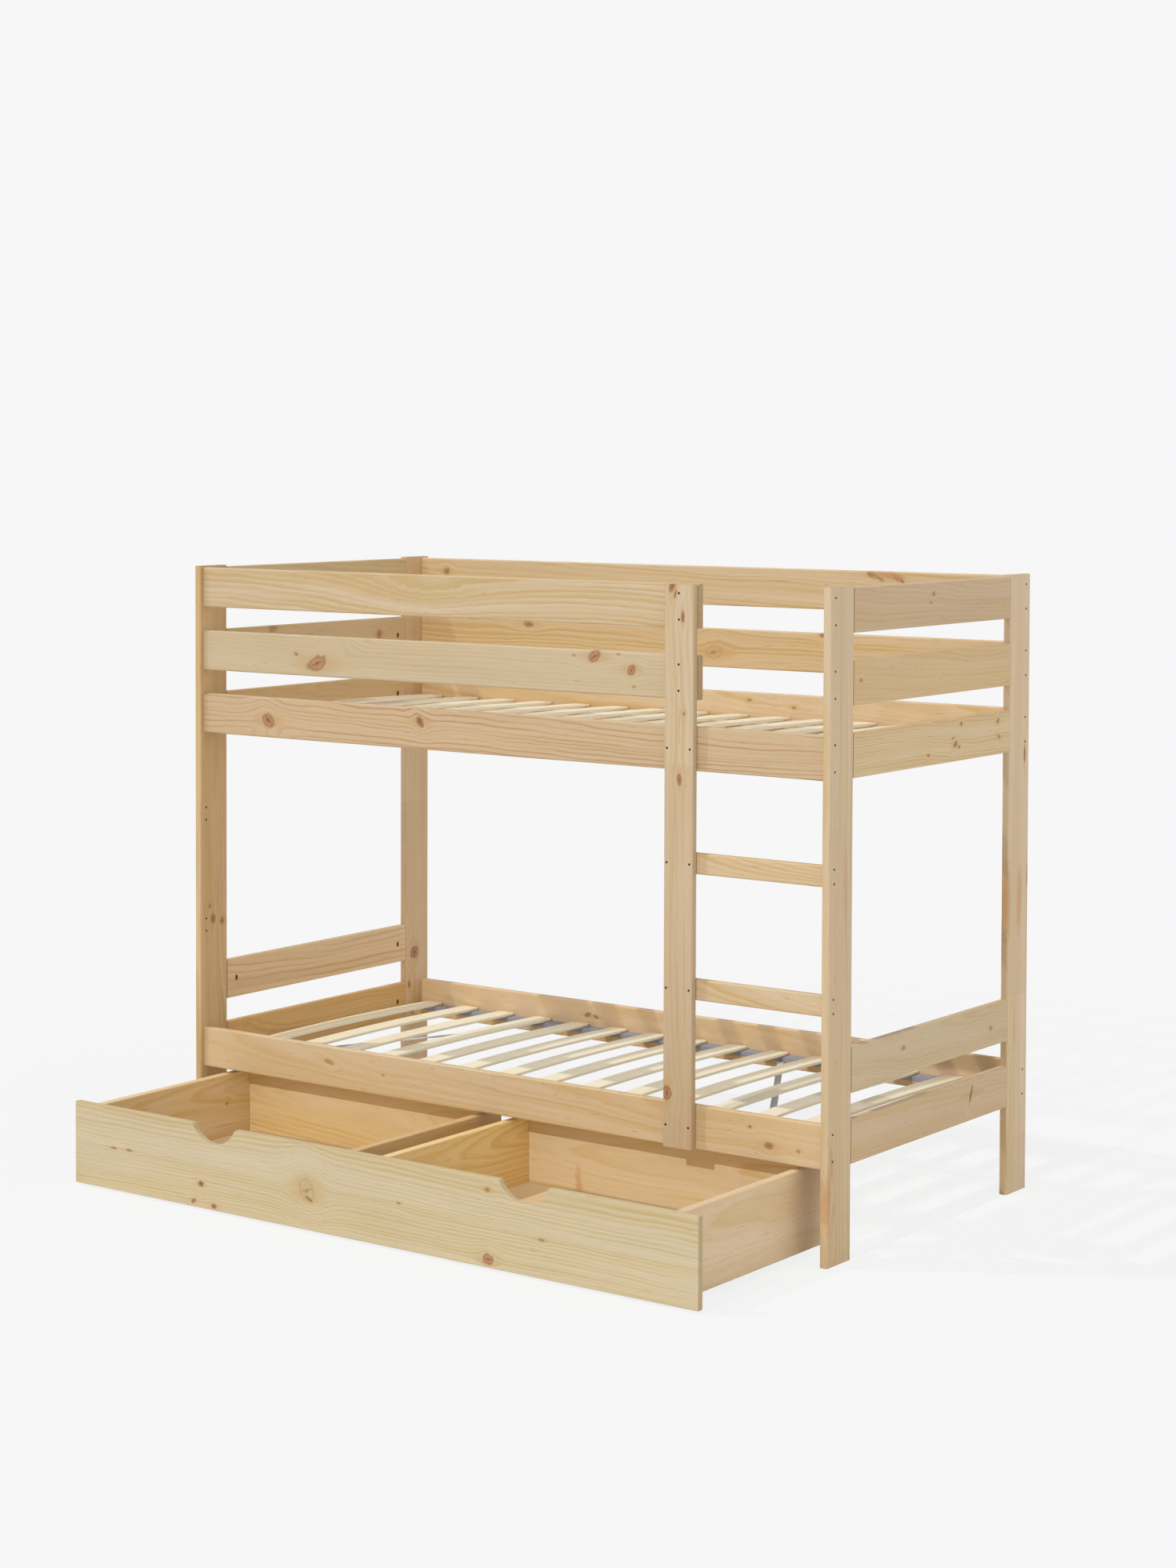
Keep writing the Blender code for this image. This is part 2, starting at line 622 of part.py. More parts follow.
def make_casters(shop):
    plate = bracket_mesh()
    wheel = wheel_mesh()
    top = BOX_FLOOR_BOTTOM - FIT_GAP - WHEEL_RADIUS
    cheeks = [cheek_mesh("cheek_left", LEFT, top - PLATE_THICKNESS / 2)]
    cheeks.append(cheek_mesh("cheek_right", RIGHT, top - PLATE_THICKNESS / 2))
    axle = axle_mesh()
    reach_x = BOX_WIDTH / 2 - CASTER_SIDE_INSET
    front_y = BOX_FRONT_Y + CASTER_END_INSET
    rear_y = BOX_REAR_Y - CASTER_END_INSET
    number = 0
    for box in range(BOX_COUNT):
        for across in range(CASTERS_ACROSS):
            x = box_centre_x(box) + reach_x * (2 * across / (CASTERS_ACROSS - 1) - 1)
            for along in range(CASTERS_ALONG):
                number += 1
                y = front_y + (rear_y - front_y) * along / (CASTERS_ALONG - 1)
                place = Vector((x, y, WHEEL_RADIUS))
                bracket = shop.piece("caster_bracket_" + str(number), plate, "steel", place)
                for mesh in cheeks + [axle]:
                    join_into(shop, bracket, mesh)
                shop.piece("caster_wheel_" + str(number), wheel, "wheel_plastic", place)


def main():
    clear_scene()
    shop = Workshop()
    make_posts(shop)
    make_long_rails(shop)
    make_end_rails(shop)
    make_ladder(shop)
    make_ledgers(shop)
    for deck, rail_bottom in DECK_BOTTOMS.items():
        make_slat_roll(shop, deck, rail_bottom)
    make_tie_straps(shop)
    make_drawer_front(shop)
    for index in range(BOX_COUNT):
        make_drawer_box(shop, index)
    make_casters(shop)


main()
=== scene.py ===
# %% [markdown]
# A bunk bed dressed in pine
#
# The solid model of the bed is loaded as a fixed frame. It already has the right boards
# in the right places, so this lesson gives each board its own piece of pine, makes the
# slats, webbing, screws and wheels that a close look wants, and sets up a plain studio.
# Lengths are in metres, and those of knots in millimetres. The names of the boards come
# from the frame.

# %% Load the frame
import math

import bpy
from mathutils import Euler, Matrix, Vector


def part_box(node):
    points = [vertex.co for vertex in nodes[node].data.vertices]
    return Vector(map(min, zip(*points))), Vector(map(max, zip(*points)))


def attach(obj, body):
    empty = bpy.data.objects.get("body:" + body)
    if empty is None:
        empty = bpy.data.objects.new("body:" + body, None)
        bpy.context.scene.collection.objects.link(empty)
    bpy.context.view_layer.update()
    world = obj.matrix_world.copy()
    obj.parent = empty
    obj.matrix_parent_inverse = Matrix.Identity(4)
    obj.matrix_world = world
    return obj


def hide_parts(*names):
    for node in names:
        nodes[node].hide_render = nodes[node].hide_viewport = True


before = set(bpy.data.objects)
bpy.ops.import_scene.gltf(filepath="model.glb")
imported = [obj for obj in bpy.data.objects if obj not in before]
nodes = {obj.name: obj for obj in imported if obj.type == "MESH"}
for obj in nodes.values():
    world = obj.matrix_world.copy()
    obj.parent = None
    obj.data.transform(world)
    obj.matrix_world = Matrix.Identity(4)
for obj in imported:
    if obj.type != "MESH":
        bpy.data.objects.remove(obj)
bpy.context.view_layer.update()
print("boards and fittings in the frame:", len(nodes))

# %% [markdown]
# The sizes that new pieces need are read from the boards they touch, so a piece can
# never miss its place. The bed's own middle lies a little behind the middle of the whole
# part, because the open drawer counts as part of it, and places measured from the bed's
# middle are moved back by that much.

# %% Read the sizes that several pieces share
def size_of(node):
    low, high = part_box(node)
    return high - low


def middle_of(node):
    low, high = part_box(node)
    return (low + high) / 2


BED_Y = (middle_of("post_front_left").y + middle_of("post_back_left").y) / 2
LEFT, RIGHT = -1, 1
FRONT, BACK = -1, 1
SIDES = {LEFT: "left", RIGHT: "right"}
DEPTHS = {FRONT: "front", BACK: "back"}
LEVELS = ("bottom", "head", "upper", "middle", "top")
print("the middle of the bed lies at y =", round(BED_Y, 4))

# %% [markdown]
# The camera stands where the photographer stood: a long lens, a little above the top
# bunk, looking along the bed from its ladder end. The picture is 1500 by 2000 pixels.
# The lens is shifted down, as on a view camera, so the posts stay upright in the picture
# although the bed lies below the lens's axis.

# %% Place the camera
PICTURE_WIDE = 1500
PICTURE_TALL = 2000
FILM_TALL_MM = 36
FOCAL_PIXELS = 3855.3
AXIS_PIXEL_X = 600
AXIS_PIXEL_Y = 718.3
CAMERA_FROM_BED = Vector((4.5015, -6.4068, 1.8708))
CAMERA_TURN = math.radians(37.577)
CAMERA_TILT = math.radians(-2.157)
CAMERA_ROLL = math.radians(0.096)

lens = bpy.data.cameras.new("photo_camera")
lens.sensor_width = FILM_TALL_MM
lens.lens = FOCAL_PIXELS * FILM_TALL_MM / PICTURE_TALL
lens.shift_x = (PICTURE_WIDE / 2 - AXIS_PIXEL_X) / PICTURE_TALL
lens.shift_y = (AXIS_PIXEL_Y - PICTURE_TALL / 2) / PICTURE_TALL
lens.clip_end = 200
camera = bpy.data.objects.new("photo_camera", lens)
camera.location = CAMERA_FROM_BED + Vector((0, BED_Y, 0))
upright = Euler((math.pi / 2 + CAMERA_TILT, 0, CAMERA_TURN)).to_matrix()
rolled = upright @ Matrix.Rotation(CAMERA_ROLL, 3, "Z")
camera.rotation_euler = rolled.to_euler()
bpy.context.scene.collection.objects.link(camera)
bpy.context.scene.camera = camera
bpy.context.scene.view_settings.view_transform = "Standard"
print("focal length in mm:", round(lens.lens, 2))

# %% [markdown]
# Every finish here is built from shader nodes. Writing them one call at a time is long,
# so two small classes help. The first, a Field, wraps one socket, and Python's own signs
# add the Math nodes, so 1 - mask is a Math node set to subtract.

# %% A field of values over a surface
class Field:
    def __init__(self, graph, socket):
        self.graph = graph
        self.socket = socket

    def math(self, operation, first, second=0.0):
        return self.graph.node("Math", {"operation": operation}, {0: first, 1: second})

    def __add__(self, other):
        return self.math("ADD", self, other)

    def __radd__(self, other):
        return self.math("ADD", other, self)

    def __sub__(self, other):
        return self.math("SUBTRACT", self, other)

    def __rsub__(self, other):
        return self.math("SUBTRACT", other, self)

    def __mul__(self, other):
        return self.math("MULTIPLY", self, other)

    def __rmul__(self, other):
        return self.math("MULTIPLY", other, self)

    def __truediv__(self, other):
        return self.math("DIVIDE", self, other)

    def __rtruediv__(self, other):
        return self.math("DIVIDE", other, self)

    def __abs__(self):
        return self.math("ABSOLUTE", self)

    def root(self):
        return self.math("SQRT", self)

    def exp(self):
        return self.math("EXPONENT", self)

    def sine(self):
        return self.math("SINE", self)

    def fract(self):
        return self.math("FRACT", self)

    def floor(self):
        return self.math("FLOOR", self)

    def larger(self, other):
        return self.math("MAXIMUM", self, other)

    def rise(self, low, high):
        """0 below low, 1 above high, with a soft rise between them."""
        sockets = {"Value": self, "From Min": low, "From Max": high}
        return self.graph.node("MapRange", {"interpolation_type": "SMOOTHSTEP"}, sockets)


# %% [markdown]
# The second class, a Graph, writes the nodes of one material or of the sky. Its node
# method adds any other node, with its settings first and its sockets after. Patterns read
# the object's own x, y and z, so they stay on the wood when a body moves.

# %% A graph of shader nodes
class Graph:
    def __init__(self, owner):
        self.owner = owner
        self.tree = owner.node_tree
        self.shader = self.tree.nodes.get("Principled BSDF")
        self.place = None

    def plug(self, socket, value):
        if isinstance(value, Field):
            self.tree.links.new(value.socket, socket)
        else:
            socket.default_value = value

    def node(self, kind, settings=None, sockets=None, output=0):
        item = self.tree.nodes.new("ShaderNode" + kind)
        for name, value in (settings or {}).items():
            setattr(item, name, value)
        for name, value in (sockets or {}).items():
            self.plug(item.inputs[name], value)
        return Field(self, item.outputs[output])

    def coordinates(self):
        """The object's own x, y and z. Every piece here has its object at the origin."""
        if self.place is None:
            spot = self.node("TexCoord", output="Object")
            self.place = [self.node("SeparateXYZ", None, {0: spot}, axis) for axis in range(3)]
        return self.place

    def vector(self, x, y, z):
        return self.node("CombineXYZ", None, {0: x, 1: y, 2: z})

    def noise(self, x, y, z, detail=2.0, roughness=0.5):
        spot = self.vector(x, y, z)
        sockets = {"Vector": spot, "Scale": 1.0, "Detail": detail, "Roughness": roughness}
        return self.node("TexNoise", None, sockets)

    def lot(self, value):
        """A number from 0 to 1 drawn for each whole value."""
        return self.node("TexWhiteNoise", {"noise_dimensions": "1D"}, {"W": value})

    def mix(self, share, first, second, blend="MIX"):
        settings = {"data_type": "RGBA", "blend_type": blend}
        return self.node("Mix", settings, {0: share, 6: first, 7: second}, 2)

    def shade(self, color, level):
        """The colour times a level that changes over the surface."""
        return self.mix(1.0, color, self.vector(level, level, level), "MULTIPLY")

    def bump(self, height, distance, strength):
        sockets = {"Height": height, "Distance": distance, "Strength": strength}
        return self.node("Bump", None, sockets)

    def surface(self, color, roughness, normal):
        """Plug what changes over the surface into the shader, and give the material."""
        fields = {"Base Color": color, "Roughness": roughness, "Normal": normal}
        for name, field in fields.items():
            self.plug(self.shader.inputs[name], field)
        return self.owner


# %% [markdown]
# Colours are easier to judge as the 0 to 255 numbers of a picture, but shaders want
# linear light, so a short function turns one into the other, by the standard curve of
# screens. The shares afterwards lighten, darken or tint the colour.

# %% Colours in linear light
def linear(level):
    share = level / 255
    if share <= 0.04045:
        return share / 12.92
    return ((share + 0.055) / 1.055) ** 2.4


def paint_color(tone, shares=(1, 1, 1)):
    return (*[linear(level) * share for level, share in zip(tone, shares)], 1)


def new_finish(name):
    material = bpy.data.materials.new(name)
    material.use_nodes = True
    return Graph(material)


# %% [markdown]
# Pine is drawn from the inside of the tree. A board is cut somewhere beside the pith,
# and its growth rings are cylinders round that pith. Measuring each point's distance
# from a slightly slanted, slightly wobbly pith line, and colouring by the ring it falls
# in, gives straight grain far from the pith, flame shapes where the pith slants under
# the face, and arcs on the end grain, all from one formula.
#
# A cut says how a board was sawn. The pith lies off_v and off_w beside and behind the
# board's middle and leans by slant_v and slant_w. One ring is a year's width, slow and
# quick are its long and short wobbles, and another seed is another tree. The line is
# where the dark part of a year begins, and the other shares say how strong each mark is.

# %% Growth rings
EARLY_SHARES = (1.05, 1.06, 1.1)
GOLD_SHARES = (0.92, 0.82, 0.56)
RED_SHARES = (0.84, 0.69, 0.58)
STAIN_SHARES = (0.95, 0.83, 0.62)
FLECK_SHARES = (0.66, 0.52, 0.38)
END_GRAIN_SHARES = (0.8, 0.68, 0.52)
BLOCK_SHARES = (0.9, 0.84, 0.76)
PLAIN_CUT = {
    "late": GOLD_SHARES, "ring": 0.0075, "line": 0.12, "contrast": 0.6, "band": 0.35,
    "stain": 0.25, "block": 0, "off_v": 0.16, "off_w": 0.05, "slant_v": 0.0, "slant_w": 0.02,
    "slow": 0.03, "quick": 0.007, "mottle": 0.1, "fleck": 0.5,
}


def board_axes(node):
    """Along, across and through: the axes from the longest side to the shortest."""
    size = size_of(node)
    return sorted(range(3), key=lambda axis: -size[axis])


def ring_field(graph, u, v, w, middle, cut):
    """Distance from the pith, counted in rings, with the wobble of a grown trunk."""
    seed = cut["seed"]
    slow = graph.noise(u * 1.6 + seed, v * 5, w * 5, detail=1)
    quick = graph.noise(u * 7 + seed, v * 24, w * 24)
    run = u - middle[0]
    side = v - (middle[1] + cut["off_v"]) + run * cut["slant_v"]
    deep = w - (middle[2] + cut["off_w"]) + run * cut["slant_w"]
    radius = (side * side + deep * deep).root()
    wobble = (slow - 0.5) * cut["slow"] + (quick - 0.5) * cut["quick"]
    return (radius + wobble) / cut["ring"]


# %% [markdown]
# A knot is the foot of a branch that grew through the trunk, so it crosses the rings.
# Each knot is a tilted ellipse whose outline a noise makes uneven. The rings part and
# flow round it. Inside it has thin rings of its own and a dark heart, and outside a warm
# halo runs along the grain. A knot of no depth only bends the grain, as one just below
# the face or just off the board's edge does. A very slim one is a streak of resin, which
# bends nothing, and a big one has pale flesh.

# %% Knots
KNOT_FLESH = (190, 136, 98)
KNOT_RING = (152, 98, 66)
KNOT_HEART = (108, 62, 38)
KNOT_RIM = (124, 76, 48)
KNOT_HALO_SHARES = (0.93, 0.78, 0.54)
BIG_FLESH_SHARES = (0.97, 0.87, 0.7)
BIG_RING_SHARES = (0.8, 0.62, 0.42)
STREAK_SHARES = (0.84, 0.6, 0.4)
SMALL_KNOT = 0.01
BIG_KNOT = 0.018
STREAK_SLIMNESS = 4.5
KNOT_TURNS = 3.3
RING_PUSH = 0.92
RING_PUSH_FADE = 0.16
HALO_LONG = 3.0
HALO_WIDE = 1.5


def is_streak(knot):
    return max(knot[2:4]) > min(knot[2:4]) * STREAK_SLIMNESS


def knot_reach(u, v, knot, ripple):
    """How far out of the heart each point is, 1 at the rim, and the slit across the heart."""
    along, across, half_long, half_wide, depth, tilt = knot
    turn_cos, turn_sin = math.cos(tilt), math.sin(tilt)
    run, rise = u - along, v - across
    flat_u = (run * turn_cos + rise * turn_sin) / half_long
    flat_v = (rise * turn_cos - run * turn_sin) / half_wide
    slit = 1 - abs(flat_v + ripple * 0.6).rise(0.03, 0.2)
    return (flat_u * flat_u + flat_v * flat_v).root() + ripple, slit


def part_rings(rings, v, reach, knot, cut):
    """Flatten the rise of the rings at the knot, so that the lines pass on both sides."""
    toward_pith = 1 if cut["off_v"] > 0 else -1
    push = toward_pith * RING_PUSH / cut["ring"]
    return rings + (v - knot[1]) * (reach * reach * -RING_PUSH_FADE).exp() * push


def knot_halo(u, v, knot):
    far_u = (u - knot[0]) / (knot[2] * HALO_LONG)
    far_v = (v - knot[1]) / (knot[3] * HALO_WIDE)
    return 1 - (far_u * far_u + far_v * far_v).root().rise(0.35, 1.25)


def knot_color(graph, wood, reach, slit, halo, knot, tone):
    half_wide, depth = knot[3:5]
    if is_streak(knot):
        resin = (1 - reach.rise(0.25, 1.1)) * depth
        return graph.mix(resin, wood, paint_color(tone, STREAK_SHARES))
    wood = graph.mix(halo * (0.75 * depth), wood, paint_color(tone, KNOT_HALO_SHARES))
    if half_wide > BIG_KNOT:
        pale, ring = paint_color(tone, BIG_FLESH_SHARES), paint_color(tone, BIG_RING_SHARES)
        dark, edge = 0.35, 0.16
    else:
        pale, ring, dark, edge = paint_color(KNOT_FLESH), paint_color(KNOT_RING), 0.8, 0.55
    heart = paint_color(KNOT_HEART)
    turns = (reach * KNOT_TURNS).fract().rise(0.25, 0.75)
    flesh = graph.mix(turns * 0.6, pale, ring)
    core = 0.95 if half_wide < SMALL_KNOT else 0.42
    flesh = graph.mix((1 - reach.rise(0.05, core)) * dark, flesh, heart)
    split = slit * (1 - reach.rise(0.45, 0.95))
    flesh = graph.mix(split * (dark * 0.9), flesh, heart)
    wood = graph.mix((1 - reach.rise(0.7, 1.12)) * depth, wood, flesh)
    rim = reach.rise(0.62, 0.92) * (1 - reach.rise(0.94, 1.25))
    return graph.mix(rim * (edge * depth), wood, paint_color(KNOT_RIM))


# %% [markdown]
# The rings give the board its lines, and slower bands of gold and cream run with them.
# Over them come the things that stop wood from looking printed: fine fibres, short
# dashes where resin canals were cut open, slow clouds of tone, warm stains along the
# grain, and on some boards the joints between glued blocks. The same fibres feed the
# roughness and a shallow bump.

# %% One board's pine
MM_PER_METRE = 1000
YEAR_UNEVEN = 2.6
FINE_LINES = 3.3
END_GRAIN_START = 0.0012
END_GRAIN_FULL = 0.0004


def ring_shade(graph, rings, u, cut):
    """How far each point is from pale early wood towards the dark late wood."""
    uneven = graph.noise(rings * 0.21, u * 0.15, cut["seed"] + 3, detail=1)
    years = rings + (uneven - 0.5) * YEAR_UNEVEN
    phase = years.fract()
    line = phase.rise(cut["line"], 0.8) * (1 - phase.rise(0.84, 1.0))
    fade = graph.noise(years * 0.55, u * 1.6, cut["seed"], detail=1).rise(0.34, 0.66)
    band = graph.noise(years * 0.37, u * 0.5, cut["seed"] + 7, detail=1).rise(0.34, 0.66)
    fine = (years * (math.tau * FINE_LINES)).sine() * 0.04
    return (line * (fade * 0.85 + 0.15) + fine) * cut["contrast"] + band * cut["band"]


def block_shade(graph, wood, u, cut):
    turn = graph.lot(((u + cut["seed"]) / cut["block"]).floor())
    return graph.mix(turn * 0.5, wood, paint_color(cut["tone"], BLOCK_SHARES))


def knot_places(axes, knots):
    """The knots in metres, those along y moved with the bed's middle."""
    shift = [BED_Y if axis == 1 else 0 for axis in axes]
    places = []
    for *lengths, depth, tilt in [(*knot, 0.0)[:6] for knot in knots]:
        along, across, half_long, half_wide = [length / MM_PER_METRE for length in lengths]
        places.append((along + shift[0], across + shift[1], half_long, half_wide, depth, tilt))
    return places


def pine_color(graph, place, rings, reaches, fibre, cut):
    u, v, w = place
    late = ring_shade(graph, rings, u, cut)
    early = paint_color(cut["tone"], EARLY_SHARES)
    wood = graph.mix(late, early, paint_color(cut["tone"], cut["late"]))
    stain = graph.noise(u * 1.4 + cut["seed"], v * 30, w * 30).rise(0.52, 0.8)
    wood = graph.mix(stain * cut["stain"], wood, paint_color(cut["tone"], STAIN_SHARES))
    if cut["block"]:
        wood = block_shade(graph, wood, u, cut)
    cloud = graph.noise(u * 2.4 + cut["seed"], v * 10, w * 10)
    dash = graph.noise(u * 24, v * 620, w * 620, detail=0).rise(0.68, 0.78)
    tone = 1 + (fibre - 0.5) * 0.17 + (cloud - 0.5) * cut["mottle"] - dash * 0.07
    wood = graph.shade(wood, tone)
    fleck = graph.noise(u * 26 + cut["seed"], v * 330, w * 330, detail=0).rise(0.76, 0.84)
    wood = graph.mix(fleck * cut["fleck"], wood, paint_color(cut["tone"], FLECK_SHARES))
    for reach, slit, halo, knot in reaches:
        if knot[4]:
            wood = knot_color(graph, wood, reach, slit, halo, knot, cut["tone"])
    return wood, late


def pine(node, tone, knots, changes):
    cut = {**PLAIN_CUT, "tone": tone, **changes}
    graph = new_finish("pine_" + node)
    axes = board_axes(node)
    u, v, w = [graph.coordinates()[axis] for axis in axes]
    middle = [middle_of(node)[axis] for axis in axes]
    rings = ring_field(graph, u, v, w, middle, cut)
    coarse = (graph.noise(u * 45, v * 45, w * 45) - 0.5) * 0.85
    ripple = coarse + (graph.noise(u * 130, v * 130, w * 130) - 0.5) * 0.5
    reaches = []
    for knot in knot_places(axes, knots):
        reach, slit = knot_reach(u, v, knot, ripple)
        if not is_streak(knot):
            rings = part_rings(rings, v, reach, knot, cut)
        reaches.append((reach, slit, knot_halo(u, v, knot), knot))
    fibre = graph.noise(u * 9 + cut["seed"], v * 420, w * 420, detail=3, roughness=0.6)
    wood, late = pine_color(graph, (u, v, w), rings, reaches, fibre, cut)
    half = size_of(node)[axes[0]] / 2
    end = abs(u - middle[0]).rise(half - END_GRAIN_START, half - END_GRAIN_FULL)
    wood = graph.mix(end * 0.7, wood, paint_color(cut["tone"], END_GRAIN_SHARES))
    relief = graph.bump(fibre * 0.6 + late * 0.4, 0.0004, 0.5)
    return graph.surface(wood, 0.47 + fibre * 0.16 - late * 0.06, relief)


def cover(node, material):
    for slot in nodes[node].material_slots:
        slot.material = material


def dress(node, tone, knots=(), **changes):
    cover(node, pine(node, tone, knots, changes))


# %% [markdown]
# The front boards are the face of the bed, so each has its own character. The top guard
# is flat sawn, with broad soft bands that swirl once. The middle guard is plain with a
# few large knots. The upper rail is the liveliest, with wavy red-brown lines. Knots are
# listed in millimetres from the bed's middle, as place along, place across, half length
# and half width, and after them the depth of colour and, where one is tilted, its angle.

# %% Front boards
dress("guard_rail_top_front", (206, 184, 152), ((-190, 1566, 75, 30, 0.0),),
      ring=0.013, contrast=0.95, band=0.6, seed=3.1, off_v=0.1, off_w=0.045, slant_v=0.01,
      slant_w=0.03, slow=0.045, quick=0.012, stain=0.35)
dress("guard_rail_middle_front", (200, 180, 146), (
    (-562, 1318, 32, 17.5, 0.85, 0.35), (-632, 1339, 7, 4, 0.7, -0.5),
    (316, 1374, 18, 12, 0.9, 0.5), (423, 1346, 14, 10, 0.9, 1.1),
    (254, 1374, 6, 3, 0.5, -0.3), (430, 1306, 5, 3, 0.5), (-500, 1345, 30, 16, 0.0, 0.4),
    (385, 1382, 6, 3, 0.6),
), ring=0.0095, line=0.4, contrast=0.45, band=0.25, seed=7.7, off_v=0.13, off_w=0.03)
dress("side_rail_upper_front", (201, 174, 135), (
    (-728, 1161, 21, 15, 0.9, -0.7), (-221, 1186, 15, 9.5, 0.95, -0.9),
    (-745, 1125, 50, 12, 0.0),
), late=RED_SHARES, ring=0.011, line=0.52, contrast=1.25, band=0.15, seed=12.4, off_v=0.11,
      slant_w=0.035, slow=0.055, quick=0.014, stain=0.35)
dress("side_rail_lower_front", (215, 189, 150), (
    (814, 259, 12, 8, 0.75), (762, 296, 5, 4, 0.7), (893, 257, 5, 4, 0.6),
    (-523, 288, 16, 6, 0.55, -0.25), (-340, 276, 5, 3, 0.5), (600, 262, 8, 3, 0.4),
), ring=0.0105, contrast=0.45, band=0.45, seed=5.2, off_v=0.05, off_w=0.06, slant_w=0.03,
      slow=0.04, fleck=0.9)

# %% [markdown]
# The boards at the back are seen from inside the bed, with livelier grain. Their tones are set
# a little lighter than the front boards', partly paler wood and partly painted light that
# makes up for the shade the bed casts on their inner faces.

# %% Back boards
dress("guard_rail_top_back", (214, 190, 156), (
    (-865, 1520, 10, 8, 0.7), (540, 1546, 16, 7, 0.8, -0.35), (562, 1538, 12, 4, 0.7, -0.5),
    (588, 1543, 14, 4, 0.6, -0.3), (612, 1541, 16, 7, 0.75, -0.6),
    (628, 1532, 9, 4, 0.65, -0.9), (585, 1548, 64, 13, 0.85, -0.08),
), ring=0.0105, contrast=0.85, seed=21.0, off_v=0.09, slant_w=0.03, slow=0.04)
dress("guard_rail_middle_back", (212, 185, 144), (
    (-570, 1377, 18, 8, 0.7), (52, 1324, 26, 18.5, 0.75, 0.3), (390, 1383, 8, 6, 0.7),
), ring=0.0095, contrast=1.15, seed=24.6, off_v=0.08, slant_w=0.03, slow=0.06, quick=0.012)
dress("side_rail_upper_back", (216, 190, 153), (
    (165, 1200, 7, 4, 0.6), (305, 1187, 7, 4, 0.6),
), ring=0.0105, contrast=0.8, band=0.5, seed=27.3, off_v=0.05, off_w=0.06, slant_w=0.04,
      slow=0.04)
dress("side_rail_lower_back", (216, 188, 150), (
    (-362, 290, 11, 6, 0.75, 0.3), (-334, 287, 10, 5, 0.7, -0.4),
), ring=0.012, contrast=0.45, band=0.45, seed=30.8, off_v=0.05, off_w=0.06, slant_w=0.035,
      slow=0.05)

# %% [markdown]
# The end rails are short boards between the posts, five at each end. The right ones show
# their outer faces and the left ones their inner faces.

# %% End rails
END_CUT = {"contrast": 0.45, "ring": 0.0095, "slow": 0.05, "slant_w": 0.06, "quick": 0.012}
END_RAILS = {
    "left_bottom": ((214, 174, 116), ((-370, 250, 50, 26, 0.35, 0.3),),
                    {"contrast": 0.9, "ring": 0.012}),
    # The left head rail's tone is raised: painted light that stands in for light on its inner
    # face, which lies in shade here.
    "left_head": ((224, 194, 149), (),
                  {"late": RED_SHARES, "contrast": 0.75, "line": 0.5, "ring": 0.014}),
    "left_upper": ((214, 184, 142), (), {}),
    "left_middle": ((208, 180, 138), (
        (263, 1344, 10, 11, 0.75), (-194, 1382, 16, 12, 0.5),
    ), {}),
    "left_top": ((208, 184, 144), (), {"contrast": 0.7, "ring": 0.012}),
    "right_bottom": ((209, 183, 145), ((195, 288, 22, 5.2, 0.9, 1.2),), {}),
    "right_head": ((207, 184, 147), ((-142, 455, 8, 6, 0.65), (296, 436, 8, 6, 0.6)), {}),
    "right_upper": ((217, 191, 150), (
        (102, 1158, 10, 6, 0.8, 0.7), (121, 1150, 6, 4, 0.7, -0.5),
        (90, 1174, 6, 3, 0.6, 0.4), (131, 1206, 6, 5, 0.75, 1.1),
        (320, 1200, 8, 5, 0.75, 0.9), (326, 1160, 9, 4, 0.7, -0.6), (-32, 1141, 5, 4, 0.65),
    ), {"contrast": 0.75, "ring": 0.0075, "off_v": 0.12}),
    "right_middle": ((214, 185, 141), ((-350, 1340, 6, 5, 0.6),), {}),
    "right_top": ((203, 176, 142), ((-11, 1527, 6, 5, 0.6), (-23, 1507, 5, 4, 0.5)), {}),
}
for place, (label, (tone, knots, changes)) in enumerate(END_RAILS.items()):
    cut = {**END_CUT, "off_v": 0.09 - 0.02 * (place % 4), "seed": 41 + place * 3.7, **changes}
    dress("end_rail_" + label, tone, knots, **cut)
print("end rails dressed:", len(END_RAILS))

# %% [markdown]
# Posts, upright and rungs are glued from shorter blocks, so their tone changes a little
# from block to block along the length.

# %% Posts and ladder
dress("post_front_right", (214, 191, 157), (
    (155, -483, 85, 14, 0.85, 0.03), (235, -470, 60, 9, 0.7, -0.08),
    (120, -462, 55, 8, 0.5, 0.12), (60, -474, 60, 9, 0.4, -0.05),
    (500, -430, 130, 8, 0.3, 0.03), (880, -415, 120, 14, 0.35, -0.04),
), block=0.31, contrast=0.7, stain=0.35, seed=61.3, ring=0.012, off_v=0.06, off_w=0.04)
# The front left post's strong clouds and blocks are partly its own patchy wood and partly
# painted light and shade on its inner face.
dress("post_front_left", (210, 181, 139), (
    (613, -440, 12, 9, 0.8), (604, -404, 8, 7, 0.75), (649, -453, 6, 5, 0.6),
    (1010, -430, 120, 14, 0.3, 0.04), (800, -455, 90, 8, 0.25, -0.03),
), block=0.23, contrast=1.0, band=0.7, stain=0.6, mottle=0.4, seed=64.0, ring=0.0085,
      off_v=0.06, off_w=0.04, slant_w=0.03, slow=0.04)
dress("post_back_right", (223, 200, 169), (
    (1106, 464, 20, 5.5, 0.85), (742, 441, 110, 19, 0.8, 0.02),
    (430, 420, 90, 10, 0.35, -0.03), (743, 386, 120, 12, 0.8), (796, 488.5, 34, 8.5, 0.9),
), block=0.36, contrast=0.55, band=0.5, seed=67.9, ring=0.012, off_v=-0.06, off_w=0.04)
# The back left post's tone is raised a little: painted light standing in for the light on its
# lower part.
dress("post_back_left", (216, 188, 151), (
    (409, 424, 16, 17.8, 0.9), (318, 400, 10, 6, 0.8),
), block=0.29, contrast=0.65, mottle=0.25, seed=70.2, ring=0.012, off_v=-0.06, off_w=0.04)
